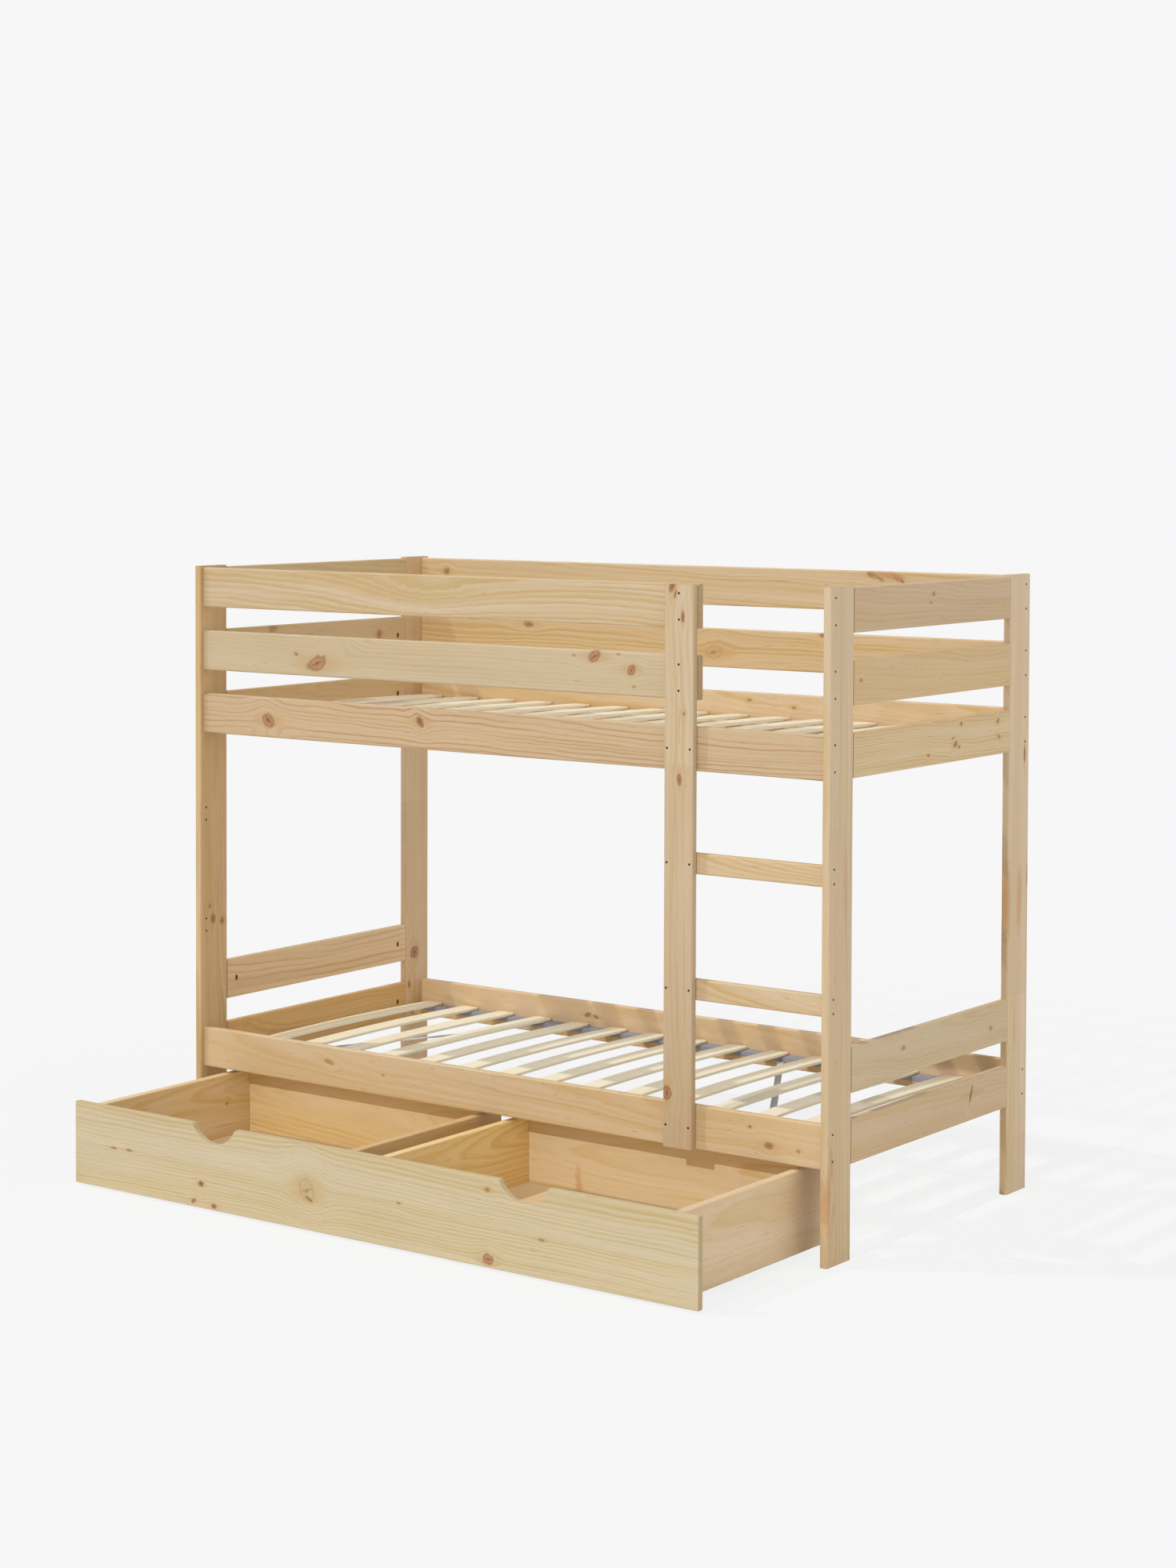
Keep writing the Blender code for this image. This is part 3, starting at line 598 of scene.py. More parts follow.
dress("ladder_upright", (206, 184, 152), (
    (1479, 582, 14, 5.5, 0.9), (1096, 574, 13, 7, 0.9), (350, 543, 16, 11, 0.9),
    (1252, 586, 5, 4, 0.6), (1552, 553, 16, 8, 0.9, 0.5), (1532, 561, 10, 4, 0.7, 0.3),
    (1225, 573, 60, 2.2, 0.6), (900, 556, 200, 2, 0.5, 0.01),
    (640, 590, 220, 2.2, 0.5, -0.01), (520, 570, 150, 3, 0.3),
), block=0.47, contrast=0.75, seed=73.6, ring=0.012, off_v=0.07)
dress("ladder_rung_1", (211, 187, 151), contrast=0.7, seed=76.1, ring=0.007,
      off_v=0.03, slant_w=0.08)
dress("ladder_rung_2", (211, 184, 144), contrast=0.7, seed=79.4, ring=0.007,
      off_v=0.04, off_w=0.04, slant_w=0.06)

# %% [markdown]
# The ledgers that carry the slats are cut from darker, redder sapwood. They are hardly
# seen, but the light that falls between the slats shows their colour.

# %% Ledgers
DECKS = ("lower", "upper")
for deck_number, deck in enumerate(DECKS):
    for depth_number, depth in enumerate(DEPTHS.values()):
        dress("ledger_" + deck + "_" + depth, (206, 172, 126), contrast=0.7,
              seed=90 + 7 * deck_number + 3 * depth_number, ring=0.005)
print("ledgers dressed:", len(DECKS) * len(DEPTHS))

# %% [markdown]
# The drawer's wide front is one pale, greenish-yellow board with fine, nearly parallel lines
# and a few round knots. Its boxes are of warmer glued pine, and the floors are thin panels.
# The walls' light tones are partly their own colour and partly painted light, for the light
# that bounces round inside the open boxes.

# %% Drawer
dress("drawer_front", (203, 187, 154), (
    (-171, 102, 23, 27, 0.9, 0.3), (-513, 66, 8, 7, 1.0), (-538, 20, 8, 5, 0.85, 0.6),
    (-470, 17, 8, 6, 0.95), (-164, 82, 12, 4, 0.8, -0.5), (-810, 112, 12, 3, 0.7),
    (-755, 114, 10, 3, 0.7), (373, 26, 14, 11, 0.9), (371, 185, 7, 5, 0.7),
    (525, 95, 8, 4, 0.6), (111, 114, 6, 3, 0.6),
), ring=0.0078, contrast=0.7, seed=101.5, off_v=0.18, off_w=0.1, slant_v=0.006, slant_w=0.004,
      quick=0.008, stain=0.2)
BOX_CUT = {"contrast": 0.4, "ring": 0.017, "band": 0.55, "off_v": 0.05, "slant_w": 0.06,
           "slow": 0.07, "quick": 0.012}
BOX_WALLS = {
    "left_left": ((229, 205, 165), ((-485, 135, 6, 4, 0.6, 0.5), (-490, 76, 90, 2.2, 0.8)),
                  {"contrast": 0.65, "ring": 0.012}),
    "left_right": ((218, 188, 146), (), {}),
    "left_back": ((233, 208, 162), (), {"contrast": 0.75, "ring": 0.012}),
    "right_left": ((240, 212, 153), (), {"contrast": 0.95, "ring": 0.011, "band": 0.4}),
    "right_right": ((225, 200, 165), ((-530, 160, 40, 20, 0.0, 0.4),), {}),
    "right_back": ((231, 211, 176), ((215, 45, 14, 78, 0.85, 0.05),),
                   {"contrast": 0.75, "ring": 0.012}),
}
for place, (label, (tone, knots, changes)) in enumerate(BOX_WALLS.items()):
    cut = {**BOX_CUT, "seed": 110 + place * 4.3, **changes}
    dress("box_" + label + "_wall", tone, knots, **cut)
for side in SIDES.values():
    dress("box_" + side + "_floor", (224, 202, 166), contrast=0.35, seed=140, ring=0.014,
          off_v=0.1)
print("boards dressed:", len([item for item in bpy.data.materials if item.users]))

# %% [markdown]
# New pieces are modelled as by hand: a primitive is added, parts of it are picked, and
# edit-mode tools shape them. A primitive comes fully selected, so one helper drops the
# selection and then picks vertices, edges or faces by where their corners lie.

# %% Helpers for modelling
TOUCHING = 1e-5


def named(piece, name):
    piece.name = name
    piece.data.name = name
    return piece


def select_only(*pieces):
    """Select these pieces and nothing else, with the first one active."""
    bpy.ops.object.select_all(action="DESELECT")
    for piece in reversed(pieces):
        piece.select_set(True)
        bpy.context.view_layer.objects.active = piece


def add(name, primitive, **settings):
    select_only()
    primitive(**settings)
    return named(bpy.context.object, name)


def add_box(name, size, place=(0, 0, 0)):
    """Stretch a new cube to a size, and leave its place in its mesh."""
    box = add(name, bpy.ops.mesh.primitive_cube_add, size=1)
    bpy.ops.transform.resize(value=size)
    bpy.ops.transform.translate(value=place)
    bpy.ops.object.transform_apply(location=True, rotation=True, scale=True)
    return box


def near(value, goal):
    return abs(value - goal) < TOUCHING


def all_at(**goals):
    """A rule that every corner lies at the given places, such as y=0.4."""
    return lambda corners: all(
        near(getattr(point, axis), goal) for point in corners for axis, goal in goals.items())


def corners_of(piece, item, kind):
    if kind == "VERT":
        return [item.co]
    return [piece.data.vertices[index].co for index in item.vertices]


def pick(piece, kind, rule):
    """Enter edit mode with only the items selected whose corners all pass the rule."""
    bpy.ops.object.mode_set(mode="EDIT")
    bpy.ops.mesh.select_mode(type=kind)
    bpy.ops.mesh.select_all(action="DESELECT")
    bpy.ops.object.mode_set(mode="OBJECT")
    mesh = piece.data
    items = {"VERT": mesh.vertices, "EDGE": mesh.edges, "FACE": mesh.polygons}[kind]
    for item in items:
        item.select = rule(corners_of(piece, item, kind))
    bpy.ops.object.mode_set(mode="EDIT")


def done():
    bpy.ops.object.mode_set(mode="OBJECT")


def bevel(piece, rule, offset, segments):
    """Round the edges whose corners pass the rule."""
    pick(piece, "EDGE", rule)
    bpy.ops.mesh.bevel(offset=offset, segments=segments, affect="EDGES")
    done()


def cut_across(axis, places):
    """Cut the piece in hand by planes that stand across one axis."""
    bpy.ops.object.mode_set(mode="EDIT")
    normal = [float(number == axis) for number in range(3)]
    for place in places:
        bpy.ops.mesh.select_all(action="SELECT")
        bpy.ops.mesh.bisect(plane_co=[place * share for share in normal], plane_no=normal)
    done()


def extrude(move):
    bpy.ops.mesh.extrude_region_move(TRANSFORM_OT_translate={"value": move})


def weld():
    bpy.ops.mesh.select_all(action="SELECT")
    bpy.ops.mesh.remove_doubles(threshold=TOUCHING)


def copy_to(piece, name, move):
    copied = piece.copy()
    copied.data = piece.data.copy()
    named(copied, name).data.transform(Matrix.Translation(move))
    bpy.context.scene.collection.objects.link(copied)
    return copied


def join(name, pieces):
    select_only(*pieces)
    bpy.ops.object.join()
    return named(bpy.context.object, name)


def smooth(piece, degrees=35):
    select_only(piece)
    bpy.ops.object.shade_smooth_by_angle(angle=math.radians(degrees))


# %% [markdown]
# Each bunk lies on fifteen springy laths. They are steam-bent, so each one is bowed
# upward and its ends lie flat. A cube is stretched, its four corners are rounded as seen
# from above, its rims are eased, cuts are made across it, and the middle cut is lifted
# with a falloff, which bows it. One slat is modelled and copied along the bed.

# %% One slat
SLAT_COUNT = 15
SLAT_PITCH = 0.1304
SLAT_ROW_SHIFT = 0.0132
SLAT_WIDTH = 0.053
SLAT_THICKNESS = 0.008
SLAT_RISE = 0.0068
SLAT_HALF_LENGTH = 0.45
SLAT_BOW_HALF = 0.425
SLAT_CORNER = 0.007
SLAT_EASE = 0.0022
SLAT_CUTS = 13


def long_way(axis, corners):
    run = corners[1] - corners[0]
    return abs(run[axis]) > 0.9 * run.length


def make_slat(bottom):
    slat = add_box("slat", (SLAT_WIDTH, 2 * SLAT_HALF_LENGTH, SLAT_THICKNESS))
    bevel(slat, lambda corners: long_way(2, corners), SLAT_CORNER, 5)
    half = SLAT_THICKNESS / 2
    bevel(slat, lambda corners: all(near(abs(point.z), half) for point in corners),
          SLAT_EASE, 3)
    steps = range(-(SLAT_CUTS // 2), SLAT_CUTS // 2 + 1)
    cut_across(1, [step * SLAT_BOW_HALF / (SLAT_CUTS / 2) for step in steps])
    pick(slat, "VERT", all_at(y=0))
    bpy.ops.transform.translate(
        value=(0, 0, SLAT_RISE), use_proportional_edit=True,
        proportional_edit_falloff="INVERSE_SQUARE", proportional_size=SLAT_BOW_HALF,
    )
    done()
    slat.data.transform(Matrix.Translation((0, BED_Y, bottom + half)))
    return slat


# %% [markdown]
# The laths are pale birch, sanded smooth. The grain runs along y, so the noise is
# stretched that way, and every lath gets its own lightness from the number of its place
# in the row.

# %% Slat finish
def make_slat_finish():
    graph = new_finish("slat_birch")
    x, y, z = graph.coordinates()
    number = ((x - SLAT_ROW_SHIFT) / SLAT_PITCH + 0.5).floor()
    own = graph.lot(number + (z * 3).floor() * 31)
    grain = graph.noise(x * 90 + own * 40, y * 2.2 + own * 9, z * 90, detail=3)
    fibre = graph.noise(x * 520, y * 12, z * 520, detail=2)
    line = (grain * 7).fract().rise(0.55, 0.95) * 0.3
    wood = graph.mix(line, paint_color((249, 240, 214)), paint_color((232, 211, 170)))
    wood = graph.mix(own * 0.4, wood, paint_color((241, 226, 192)))
    wood = graph.shade(wood, 0.96 + fibre * 0.08)
    return graph.surface(wood, 0.42 + fibre * 0.12, graph.bump(fibre, 0.0002, 0.4))


slat_finish = make_slat_finish()

# %% [markdown]
# The ends of the laths are stapled to two webbing tapes, which keep their spacing and
# let the deck be rolled up. A tape lies on the ledger, and its inner margin is turned
# down over the edge. A thin strip is extruded from a box, and the fold is beveled round.

# %% Webbing tapes
TAPE_THICKNESS = 0.0014
TAPE_WIDTH = 0.038
TAPE_FLAP = 0.012
TAPE_GAP = 0.0003
TAPE_FOLD = 0.0011
TAPE_OVERHANG = 0.003
TAPE_HALF_LENGTH = (SLAT_COUNT - 1) * SLAT_PITCH / 2 + SLAT_WIDTH / 2 + TAPE_OVERHANG


def make_tape(name, depth, ledger):
    low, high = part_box(ledger)
    inner = (high.y if depth == FRONT else low.y) - depth * TAPE_GAP
    top = high.z + TAPE_GAP + TAPE_THICKNESS
    outer = inner + depth * (TAPE_WIDTH - TAPE_THICKNESS)
    place = (SLAT_ROW_SHIFT, (inner + outer) / 2, top - TAPE_THICKNESS / 2)
    tape = add_box(name, (2 * TAPE_HALF_LENGTH, abs(outer - inner), TAPE_THICKNESS), place)
    pick(tape, "FACE", all_at(y=inner))
    extrude((0, -depth * TAPE_THICKNESS, 0))
    done()
    edge = inner - depth * TAPE_THICKNESS
    bottom = top - TAPE_THICKNESS
    margin = TAPE_THICKNESS + TOUCHING
    pick(tape, "FACE", lambda corners: all(
        near(point.z, bottom) and abs(point.y - edge) < margin for point in corners))
    extrude((0, 0, -(TAPE_FLAP - TAPE_THICKNESS)))
    done()
    bevel(tape, all_at(y=edge, z=top), TAPE_FOLD, 3)
    return tape


# %% [markdown]
# Webbing is woven from coarse threads. Two rows of small waves, one along the tape and
# one across, cross each other like threads that pass over and under.

# %% Woven finish
def make_woven_finish(name, light, dark, pitch, along):
    graph = new_finish(name)
    place = graph.coordinates()
    run = place[along]
    side = place[1 - along]
    warp = (run * (math.tau / pitch)).sine()
    weft = ((side + place[2]) * (math.tau / pitch)).sine()
    weave = warp * weft * 0.5 + 0.5
    wear = graph.noise(place[0] * 30, place[1] * 30, place[2] * 30)
    cloth = graph.mix(weave * 0.5 + wear * 0.3, paint_color(light), paint_color(dark))
    return graph.surface(cloth, 0.8 + wear * 0.15, graph.bump(weave, 0.0004, 0.7))


tape_finishes = {
    "lower": make_woven_finish("slate_webbing", (172, 171, 182), (110, 111, 121), 0.0022, 0),
    "upper": make_woven_finish("cream_webbing", (226, 210, 176), (196, 174, 132), 0.0022, 0),
}
# The strap's pale colours are partly its own and partly painted light, lightened where the
# lower deck shades it.
strap_finish = make_woven_finish("strap_webbing", (226, 230, 238), (186, 192, 204), 0.0024, 1)

# %% [markdown]
# A staple is a bent wire: a square rod whose crown lies on the lath. Two hold each end.
# It is a stretched cube with its edges beveled round and its ends pushed down.

# %% Staples
STAPLE_WIDTH = 0.01
STAPLE_WIRE = 0.001
STAPLE_BEND = 0.38
STAPLE_EASE = 0.0003


def make_staple():
    staple = add_box("staple", (STAPLE_WIDTH, STAPLE_WIRE, STAPLE_WIRE))
    cut_across(0, [side * STAPLE_BEND * STAPLE_WIDTH for side in (LEFT, RIGHT)])
    pick(staple, "VERT", lambda corners: near(abs(corners[0].x), STAPLE_WIDTH / 2))
    bpy.ops.transform.translate(value=(0, 0, -STAPLE_WIRE))
    done()
    bevel(staple, lambda corners: long_way(0, corners) and corners[0].z > 0, STAPLE_EASE, 2)
    return staple


def make_steel_finish(name, light, dark, roughness):
    graph = new_finish(name)
    x, y, z = graph.coordinates()
    wear = graph.noise(x * 160, y * 160, z * 160, detail=3)
    scratch = graph.noise(x * 900, y * 60, z * 900, detail=1)
    steel = graph.mix(wear, paint_color(light), paint_color(dark))
    gloss = roughness + wear * 0.14 + scratch * 0.06
    graph.shader.inputs["Metallic"].default_value = 1.0
    return graph.surface(steel, gloss, graph.bump(scratch, 0.0001, 0.3))


steel_finish = make_steel_finish("zinc_steel", (196, 198, 202), (150, 152, 158), 0.3)
# The screw heads' dark brown is painted shade: it stands for the shade inside the drilled
# holes round the heads.
screw_hole_shade_finish = make_steel_finish("screw_head_painted_hole_shade", (74, 62, 52), (40, 34, 30), 0.45)

# %% [markdown]
# Now the two decks are laid: fifteen laths, two tapes and the staples for each. They
# take the place of the plain slat rolls in the frame. A hair's gap keeps the laths clear
# of the tapes, so that no two faces lie in one plane.

# %% Lay the slat decks
SLAT_GAP = 0.0002
STAPLE_LIFT = 0.0004
STAPLE_ALONG = 0.014
STAPLE_ACROSS = 0.436


def put(piece, body, finish, slot, *replaced):
    piece.data.materials.clear()
    piece.data.materials.append(finish)
    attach(piece, body)
    if replaced:
        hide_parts(*replaced)
    return piece


staple_pattern = make_staple()
for deck in DECKS:
    ledger_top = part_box("ledger_" + deck + "_front")[1].z
    tape_top = ledger_top + TAPE_GAP + TAPE_THICKNESS
    staple_top = tape_top + SLAT_THICKNESS + STAPLE_LIFT
    pattern = make_slat(tape_top + SLAT_GAP)
    slats = []
    staples = []
    for number in range(SLAT_COUNT):
        x = SLAT_ROW_SHIFT + (number - (SLAT_COUNT - 1) / 2) * SLAT_PITCH
        slats.append(copy_to(pattern, "slat_" + str(number), (x, 0, 0)))
        for depth in (FRONT, BACK):
            for side in (LEFT, RIGHT):
                move = (x + side * STAPLE_ALONG, BED_Y + depth * STAPLE_ACROSS, staple_top)
                staples.append(copy_to(staple_pattern, "staple_" + str(len(staples)), move))
    bpy.data.objects.remove(pattern)
    roll = "slat_roll_" + deck
    row = join("slats_" + deck, slats)
    smooth(row)
    put(row, "bed_frame", slat_finish, "birch", roll)
    for depth in (FRONT, BACK):
        ledger = "ledger_" + deck + "_" + DEPTHS[depth]
        tape = make_tape("webbing_" + deck + "_" + DEPTHS[depth], depth, ledger)
        smooth(tape)
        put(tape, "bed_frame", tape_finishes[deck], "strap", roll)
    put(join("staples_" + deck, staples), "bed_frame", steel_finish, "steel", roll)
    print(deck, "deck:", len(slats), "slats and", len(staples), "staples")
bpy.data.objects.remove(staple_pattern)

# %% [markdown]
# Two straps run slantwise under the lower slats from ledger to ledger and keep the
# frame from spreading. Each is a flat woven band, so a cube is stretched into a long
# strip, one end is slid sideways to slant it, its middle is lowered so that it sags a
# little, and its edges are eased.

# %% Tie straps
STRAP_SAG = 0.004
STRAP_SAG_HALF = 0.3
STRAP_WIDTH = 0.02
STRAP_EASE = 0.0005
STRAP_CUTS = (0.1, 0.3, 0.5, 0.7, 0.9)


def make_strap(side):
    node = "tie_strap_" + side
    points = [vert.co.copy() for vert in nodes[node].data.vertices]
    low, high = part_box(node)
    front = [point.x for point in points if near(point.y, low.y)]
    back = [point.x for point in points if near(point.y, high.y)]
    front_x = min(front) + STRAP_WIDTH / 2
    back_x = min(back) + STRAP_WIDTH / 2
    middle = (low + high) / 2
    size = (STRAP_WIDTH, high.y - low.y, high.z - low.z)
    strap = add_box("strap_" + side, size, (front_x, middle.y, middle.z))
    pick(strap, "FACE", all_at(y=high.y))
    bpy.ops.transform.translate(value=(back_x - front_x, 0, 0))
    done()
    cut_across(1, [low.y + share * (high.y - low.y) for share in STRAP_CUTS])
    pick(strap, "VERT", lambda corners: abs(corners[0].y - middle.y) < STRAP_SAG_HALF)
    bpy.ops.transform.translate(value=(0, 0, -STRAP_SAG))
    done()
    bevel(strap, lambda corners: abs((corners[1] - corners[0]).y) > 0.01, STRAP_EASE, 2)
    smooth(strap)
    return put(strap, "bed_frame", strap_finish, "strap", node)


for side in SIDES.values():
    make_strap(side)
print("straps laid under the lower deck:", len(SIDES))

# %% [markdown]
# The boards are held by screws whose heads sit in shallow drilled holes. Each head is painted
# dark brown, the painted shade of its hole, and shows as a small dark round. A head is a disc
# with a socket pressed into it in two steps, and it is modelled once, facing up.

# %% A screw head
SCREW_RADIUS = 0.0028
SCREW_DEPTH = 0.0006
HEAD_STEPS = ((0.22, 0.15), (0.3, 0.3))


def make_round_head(name, radius):
    head = add(name, bpy.ops.mesh.primitive_cylinder_add, vertices=18,
               radius=radius, depth=SCREW_DEPTH)
    pick(head, "FACE", lambda corners: len(corners) > 4 and corners[0].z > 0)
    for rim_share, depth_share in HEAD_STEPS:
        bpy.ops.mesh.inset(thickness=radius * rim_share)
        bpy.ops.transform.translate(value=(0, 0, -SCREW_DEPTH * depth_share))
    done()
    return head


def turned_to(piece, axis, side, place, name):
    """A copy whose top faces along an axis, standing at a place."""
    copied = copy_to(piece, name, (0, 0, 0))
    aim = Vector((0, 0, 0))
    aim[axis] = side
    copied.data.transform(Vector((0, 0, 1)).rotation_difference(aim).to_matrix().to_4x4())
    copied.data.transform(Matrix.Translation(place))
    return copied


# %% [markdown]
# The posts are drilled alike at both ends of the bed, so that the ladder can go on
# either side: a pair of holes for every long rail, and on the front posts a pair for
# every rung. The heights follow from the rails' own middles. A whole row of heads is
# joined into one piece.

# %% Drill pattern
RAIL_SCREW_SPREAD = 0.031
RUNG_SCREW_SPREAD = 0.0165
LONG_RAILS = ("guard_rail_top", "guard_rail_middle", "side_rail_upper", "side_rail_lower")
RUNGS = ("ladder_rung_1", "ladder_rung_2")
screw_pattern = make_round_head("screw_head", SCREW_RADIUS)


def pair_heights(node, spread):
    height = middle_of(node).z
    return [height - spread, height + spread]


def post_heights(depth):
    heights = []
    for rail in LONG_RAILS:
        heights += pair_heights(rail + "_" + DEPTHS[depth], RAIL_SCREW_SPREAD)
    if depth == FRONT:
        for rung in RUNGS:
            heights += pair_heights(rung, RUNG_SCREW_SPREAD)
    return heights


def drill(name, axis, side, places, pattern=screw_pattern, finish=screw_hole_shade_finish):
    heads = []
    for place in places:
        heads.append(turned_to(pattern, axis, side, place, name + str(len(heads))))
    return put(join(name, heads), "bed_frame", finish, "steel")


# %% [markdown]
# Each post is drilled at the heights of its side, and a head faces outward at every hole. The
# left front post also has the spare holes for a ladder on that side. They are empty, and a
# dark head of painted shade stands in each, which shows as a small dark round on its inner
# face.

# %% Screws on the posts
screw_count = 0
for depth in (FRONT, BACK):
    y = middle_of("side_rail_lower_" + DEPTHS[depth]).y
    for side in (LEFT, RIGHT):
        post = "post_" + DEPTHS[depth] + "_" + SIDES[side]
        low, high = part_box(post)
        x = high.x if side == RIGHT else low.x
        places = [(x, y, z) for z in post_heights(depth)]
        drill("screws_" + post, 0, side, places)
        screw_count += len(places)
spare = [(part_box("post_front_left")[1].x, middle_of("side_rail_lower_front").y, z)
         for rung in RUNGS for z in pair_heights(rung, RUNG_SCREW_SPREAD)]
# Dark heads painted as the shade of the empty spare holes.
drill("painted_shade_spare_holes_post_front_left", 0, RIGHT, spare)
print("screws on the posts:", screw_count)

# %% [markdown]
# The ladder's upright is screwed to the rails from the front: one above the other into
# the guards, and side by side into the rails and rungs, where the wood behind is low.

# %% Screws on the upright
UPRIGHT_SCREW_SPREAD = 0.032
low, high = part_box("ladder_upright")
upright_x = (low.x + high.x) / 2
upright_places = []
for rail in LONG_RAILS[:2]:
    for z in pair_heights(rail + "_front", RAIL_SCREW_SPREAD):
        upright_places.append((upright_x, low.y, z))
for node in ("side_rail_upper_front", "side_rail_lower_front", *RUNGS):
    for side in (LEFT, RIGHT):
        x = upright_x + side * UPRIGHT_SCREW_SPREAD
        upright_places.append((x, low.y, middle_of(node).z))
drill("screws_ladder_upright", 1, FRONT, upright_places)
print("screws on the upright:", len(upright_places))

# %% [markdown]
# The end rails are pulled to the posts by bolts that end in barrel nuts. Each nut lies deep in
# a hole drilled through the inner face, near the end of a rail. Each is drawn as an oval at
# the face, painted the dark brown of the shaded hole round the nut. A hole looks taller than
# wide, because its near side is lit like the board.

# %% Barrel nuts
NUT_FROM_END = 0.036
NUT_HALF_HIGH = 0.0075
NUT_HALF_WIDE = 0.005
# The nuts' brown is painted shade of the hole over the steel.
nut_hole_shade_finish = make_steel_finish("nut_painted_hole_shade", (152, 102, 64), (92, 60, 38), 0.55)
nut_pattern = make_round_head("barrel_nut", NUT_HALF_HIGH)
nut_pattern.data.transform(Matrix.Diagonal((1, NUT_HALF_WIDE / NUT_HALF_HIGH, 1, 1)))
for side in (LEFT, RIGHT):
    places = []
    for level in LEVELS:
        low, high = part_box("end_rail_" + SIDES[side] + "_" + level)
        x = high.x if side == LEFT else low.x
        for y in (low.y + NUT_FROM_END, high.y - NUT_FROM_END):
            places.append((x, y, (low.z + high.z) / 2))
    drill("barrel_nuts_" + SIDES[side], 0, -side, places, nut_pattern, nut_hole_shade_finish)
bpy.data.objects.remove(screw_pattern)
bpy.data.objects.remove(nut_pattern)
print("barrel nuts:", 4 * len(LEVELS))

# %% [markdown]
# The drawer rolls on eight small plastic wheels. A wheel is a section spun round its
# axle: the tread is crowned, the side has a rim and a sunken web, and a hub carries the
# axle. The section is drawn as a line of vertices by extruding from a single one, which
# needs vertex selection, because a lone vertex can't be selected as an edge or a face.
# The steel brackets that hold the wheels are the frame's own.

# %% Wheels
WHEEL_COUNT = 8
WHEEL_SPIN_STEPS = 48


def wheel_section(low, high):
    """Half the section from the axle to the tread: place along the axle, and radius."""
    half = (high.x - low.x) / 2
    radius = (high.z - low.z) / 2
    return [
        (half - 0.001, 0.0024), (half - 0.001, 0.0055), (half - 0.002, 0.0062),
        (half - 0.002, radius - 0.0042), (half, radius - 0.0035), (half, radius - 0.0018),
        (half - 0.0006, radius - 0.0006), (half - 0.002, radius - 0.0001), (0, radius),
    ]


def make_wheel(number):
    node = "caster_wheel_" + str(number)
    low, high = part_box(node)
    centre = (low + high) / 2
    section = wheel_section(low, high)
    section += [(-x, radius) for x, radius in reversed(section[:-1])]
    wheel = add("wheel_" + str(number), bpy.ops.mesh.primitive_plane_add, size=1)
    bpy.ops.object.mode_set(mode="EDIT")
    bpy.ops.mesh.select_mode(type="VERT")
    bpy.ops.mesh.select_all(action="SELECT")
    bpy.ops.mesh.merge(type="CENTER")
    x, radius = section[0]
    bpy.ops.transform.translate(value=(centre.x + x, centre.y, centre.z - radius))
    for (from_x, from_r), (to_x, to_r) in zip(section, section[1:] + section[:1]):
        extrude((to_x - from_x, 0, from_r - to_r))
    weld()
    bpy.ops.mesh.spin(steps=WHEEL_SPIN_STEPS, angle=math.tau, center=centre, axis=(1, 0, 0))
    weld()
    bpy.ops.mesh.normals_make_consistent(inside=False)
    done()
    smooth(wheel, 30)
    return put(wheel, "wheel_" + str(number), wheel_finish, "wheel_plastic", node)


def make_wheel_finish():
    graph = new_finish("wheel_black")
    x, y, z = graph.coordinates()
    dust = graph.noise(x * 140, y * 140, z * 140, detail=4)
    grain = graph.noise(x * 1800, y * 1800, z * 1800, detail=1)
    plastic = graph.mix(dust * 0.5, paint_color((38, 38, 40)), paint_color((78, 76, 74)))
    return graph.surface(plastic, 0.38 + dust * 0.25, graph.bump(grain, 0.0001, 0.4))


wheel_finish = make_wheel_finish()
for number in range(1, WHEEL_COUNT + 1):
    make_wheel(number)
    cover("caster_bracket_" + str(number), steel_finish)
print("wheels made:", WHEEL_COUNT)

# %% [markdown]
# The studio is plain. A pale sky, a little brighter on the bed's right, lights every side.
# One sun from straight ahead lights the fronts and lays the crisp shadow of the rail in
# the open boxes. A steep one from the upper left lights the top edges and falls through
# the slats as slanted stripes. The camera sees a flat pale backdrop, and so do mirror
# reflections.

# %% Sky and suns
BACKDROP_TONE = (247, 247, 247)
SKY_LEVEL = 0.25
SKY_RIGHT = 0.8
SUNS = {"front_sun": (1.05, (0, -0.843, 0.537)), "steep_sun": (1.25, (-0.56, -0.36, 1.0))}
SUN_SIZE = math.radians(0.8)

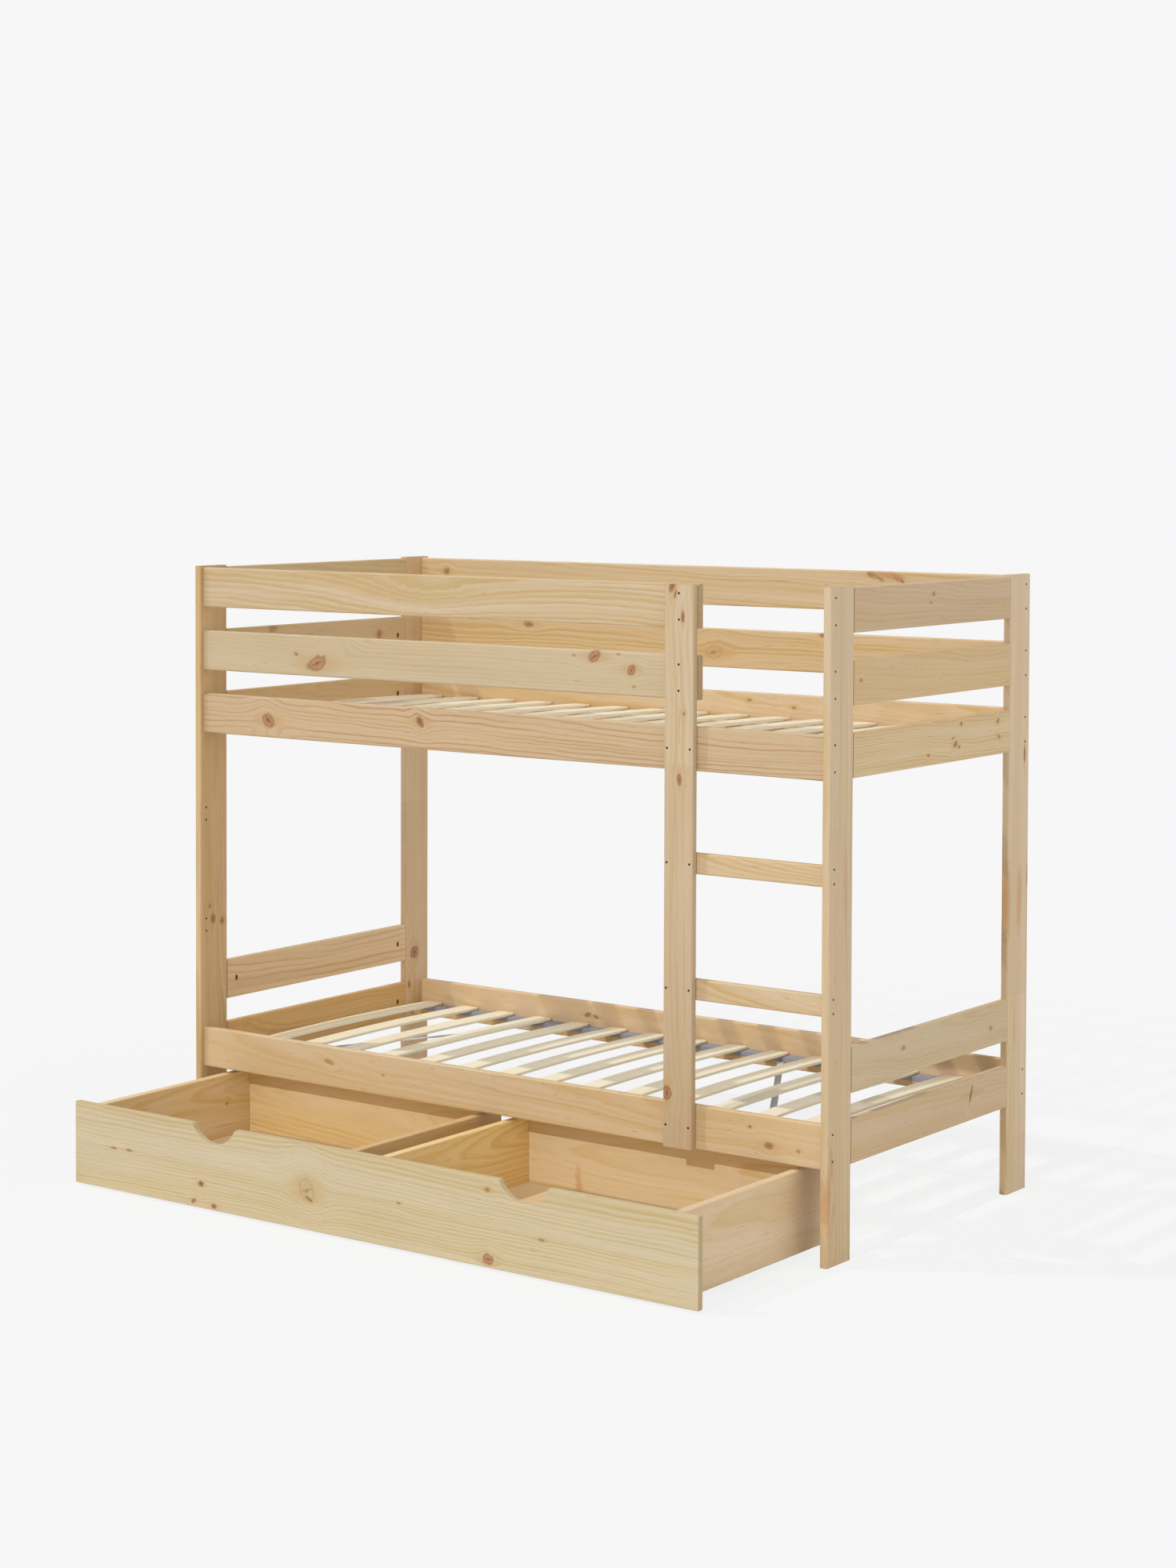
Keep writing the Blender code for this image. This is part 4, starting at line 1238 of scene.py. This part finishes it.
world = bpy.data.worlds.new("studio")
bpy.context.scene.world = world
world.use_nodes = True
sky = Graph(world)
shown = sky.node("LightPath", output="Is Camera Ray")
for ray in ("Is Glossy Ray", "Is Transmission Ray"):
    shown = shown.larger(sky.node("LightPath", output=ray))
aim = sky.node("TexCoord", output="Generated")
toward_right = sky.node("SeparateXYZ", None, {0: aim}, "X")
level = SKY_LEVEL + toward_right.larger(0.0) * SKY_RIGHT
light = sky.vector(level, level, level)
sky_color = sky.mix(shown, light, paint_color(BACKDROP_TONE))
sky.plug(sky.tree.nodes["Background"].inputs["Color"], sky_color)


def hang_sun(name, strength, toward):
    lamp = bpy.data.lights.new(name, "SUN")
    lamp.energy = strength
    lamp.angle = SUN_SIZE
    holder = bpy.data.objects.new(name, lamp)
    holder.rotation_euler = Vector(toward).to_track_quat("Z", "Y").to_euler()
    bpy.context.scene.collection.objects.link(holder)


for name, (strength, toward) in SUNS.items():
    hang_sun(name, strength, toward)
print("suns in the sky:", len(SUNS))

# %% [markdown]
# The floor is a wide, flat disc. It takes the light and keeps a faint shadow near the
# bed. For the camera, part of its own shading is blended with the backdrop's colour, and
# all of it far from the bed, so no horizon line shows.

# %% Floor
FLOOR_RADIUS = 60
FLOOR_DROP = 0.0004
FLOOR_SHARES = (0.98, 0.98, 0.98)
FLOOR_SHADOW_SHARE = 0.1
FADE_START = 1.6
FADE_END = 4.5


def make_floor_finish():
    graph = new_finish("studio_floor")
    x, y, z = graph.coordinates()
    inputs = graph.shader.inputs
    inputs["Base Color"].default_value = paint_color(BACKDROP_TONE, FLOOR_SHARES)
    inputs["Roughness"].default_value = 0.9
    inputs["Specular IOR Level"].default_value = 0.0
    far = (x * x + y * y).root().rise(FADE_START, FADE_END)
    seen = graph.node("LightPath", output="Is Camera Ray")
    share = seen * (1 - (1 - far) * FLOOR_SHADOW_SHARE)
    glow = graph.node("Emission", None, {"Color": paint_color(BACKDROP_TONE), "Strength": 1.0})
    diffuse = Field(graph, graph.shader.outputs["BSDF"])
    blended = graph.node("MixShader", None, {0: share, 1: diffuse, 2: glow})
    graph.plug(graph.tree.nodes["Material Output"].inputs["Surface"], blended)
    return graph.owner


floor = add("floor", bpy.ops.mesh.primitive_circle_add, vertices=64, radius=FLOOR_RADIUS,
            fill_type="NGON", location=(0, 0, -FLOOR_DROP))
bpy.ops.object.transform_apply(location=True, rotation=True, scale=True)
floor.data.materials.append(make_floor_finish())
print("floor radius in m:", FLOOR_RADIUS)
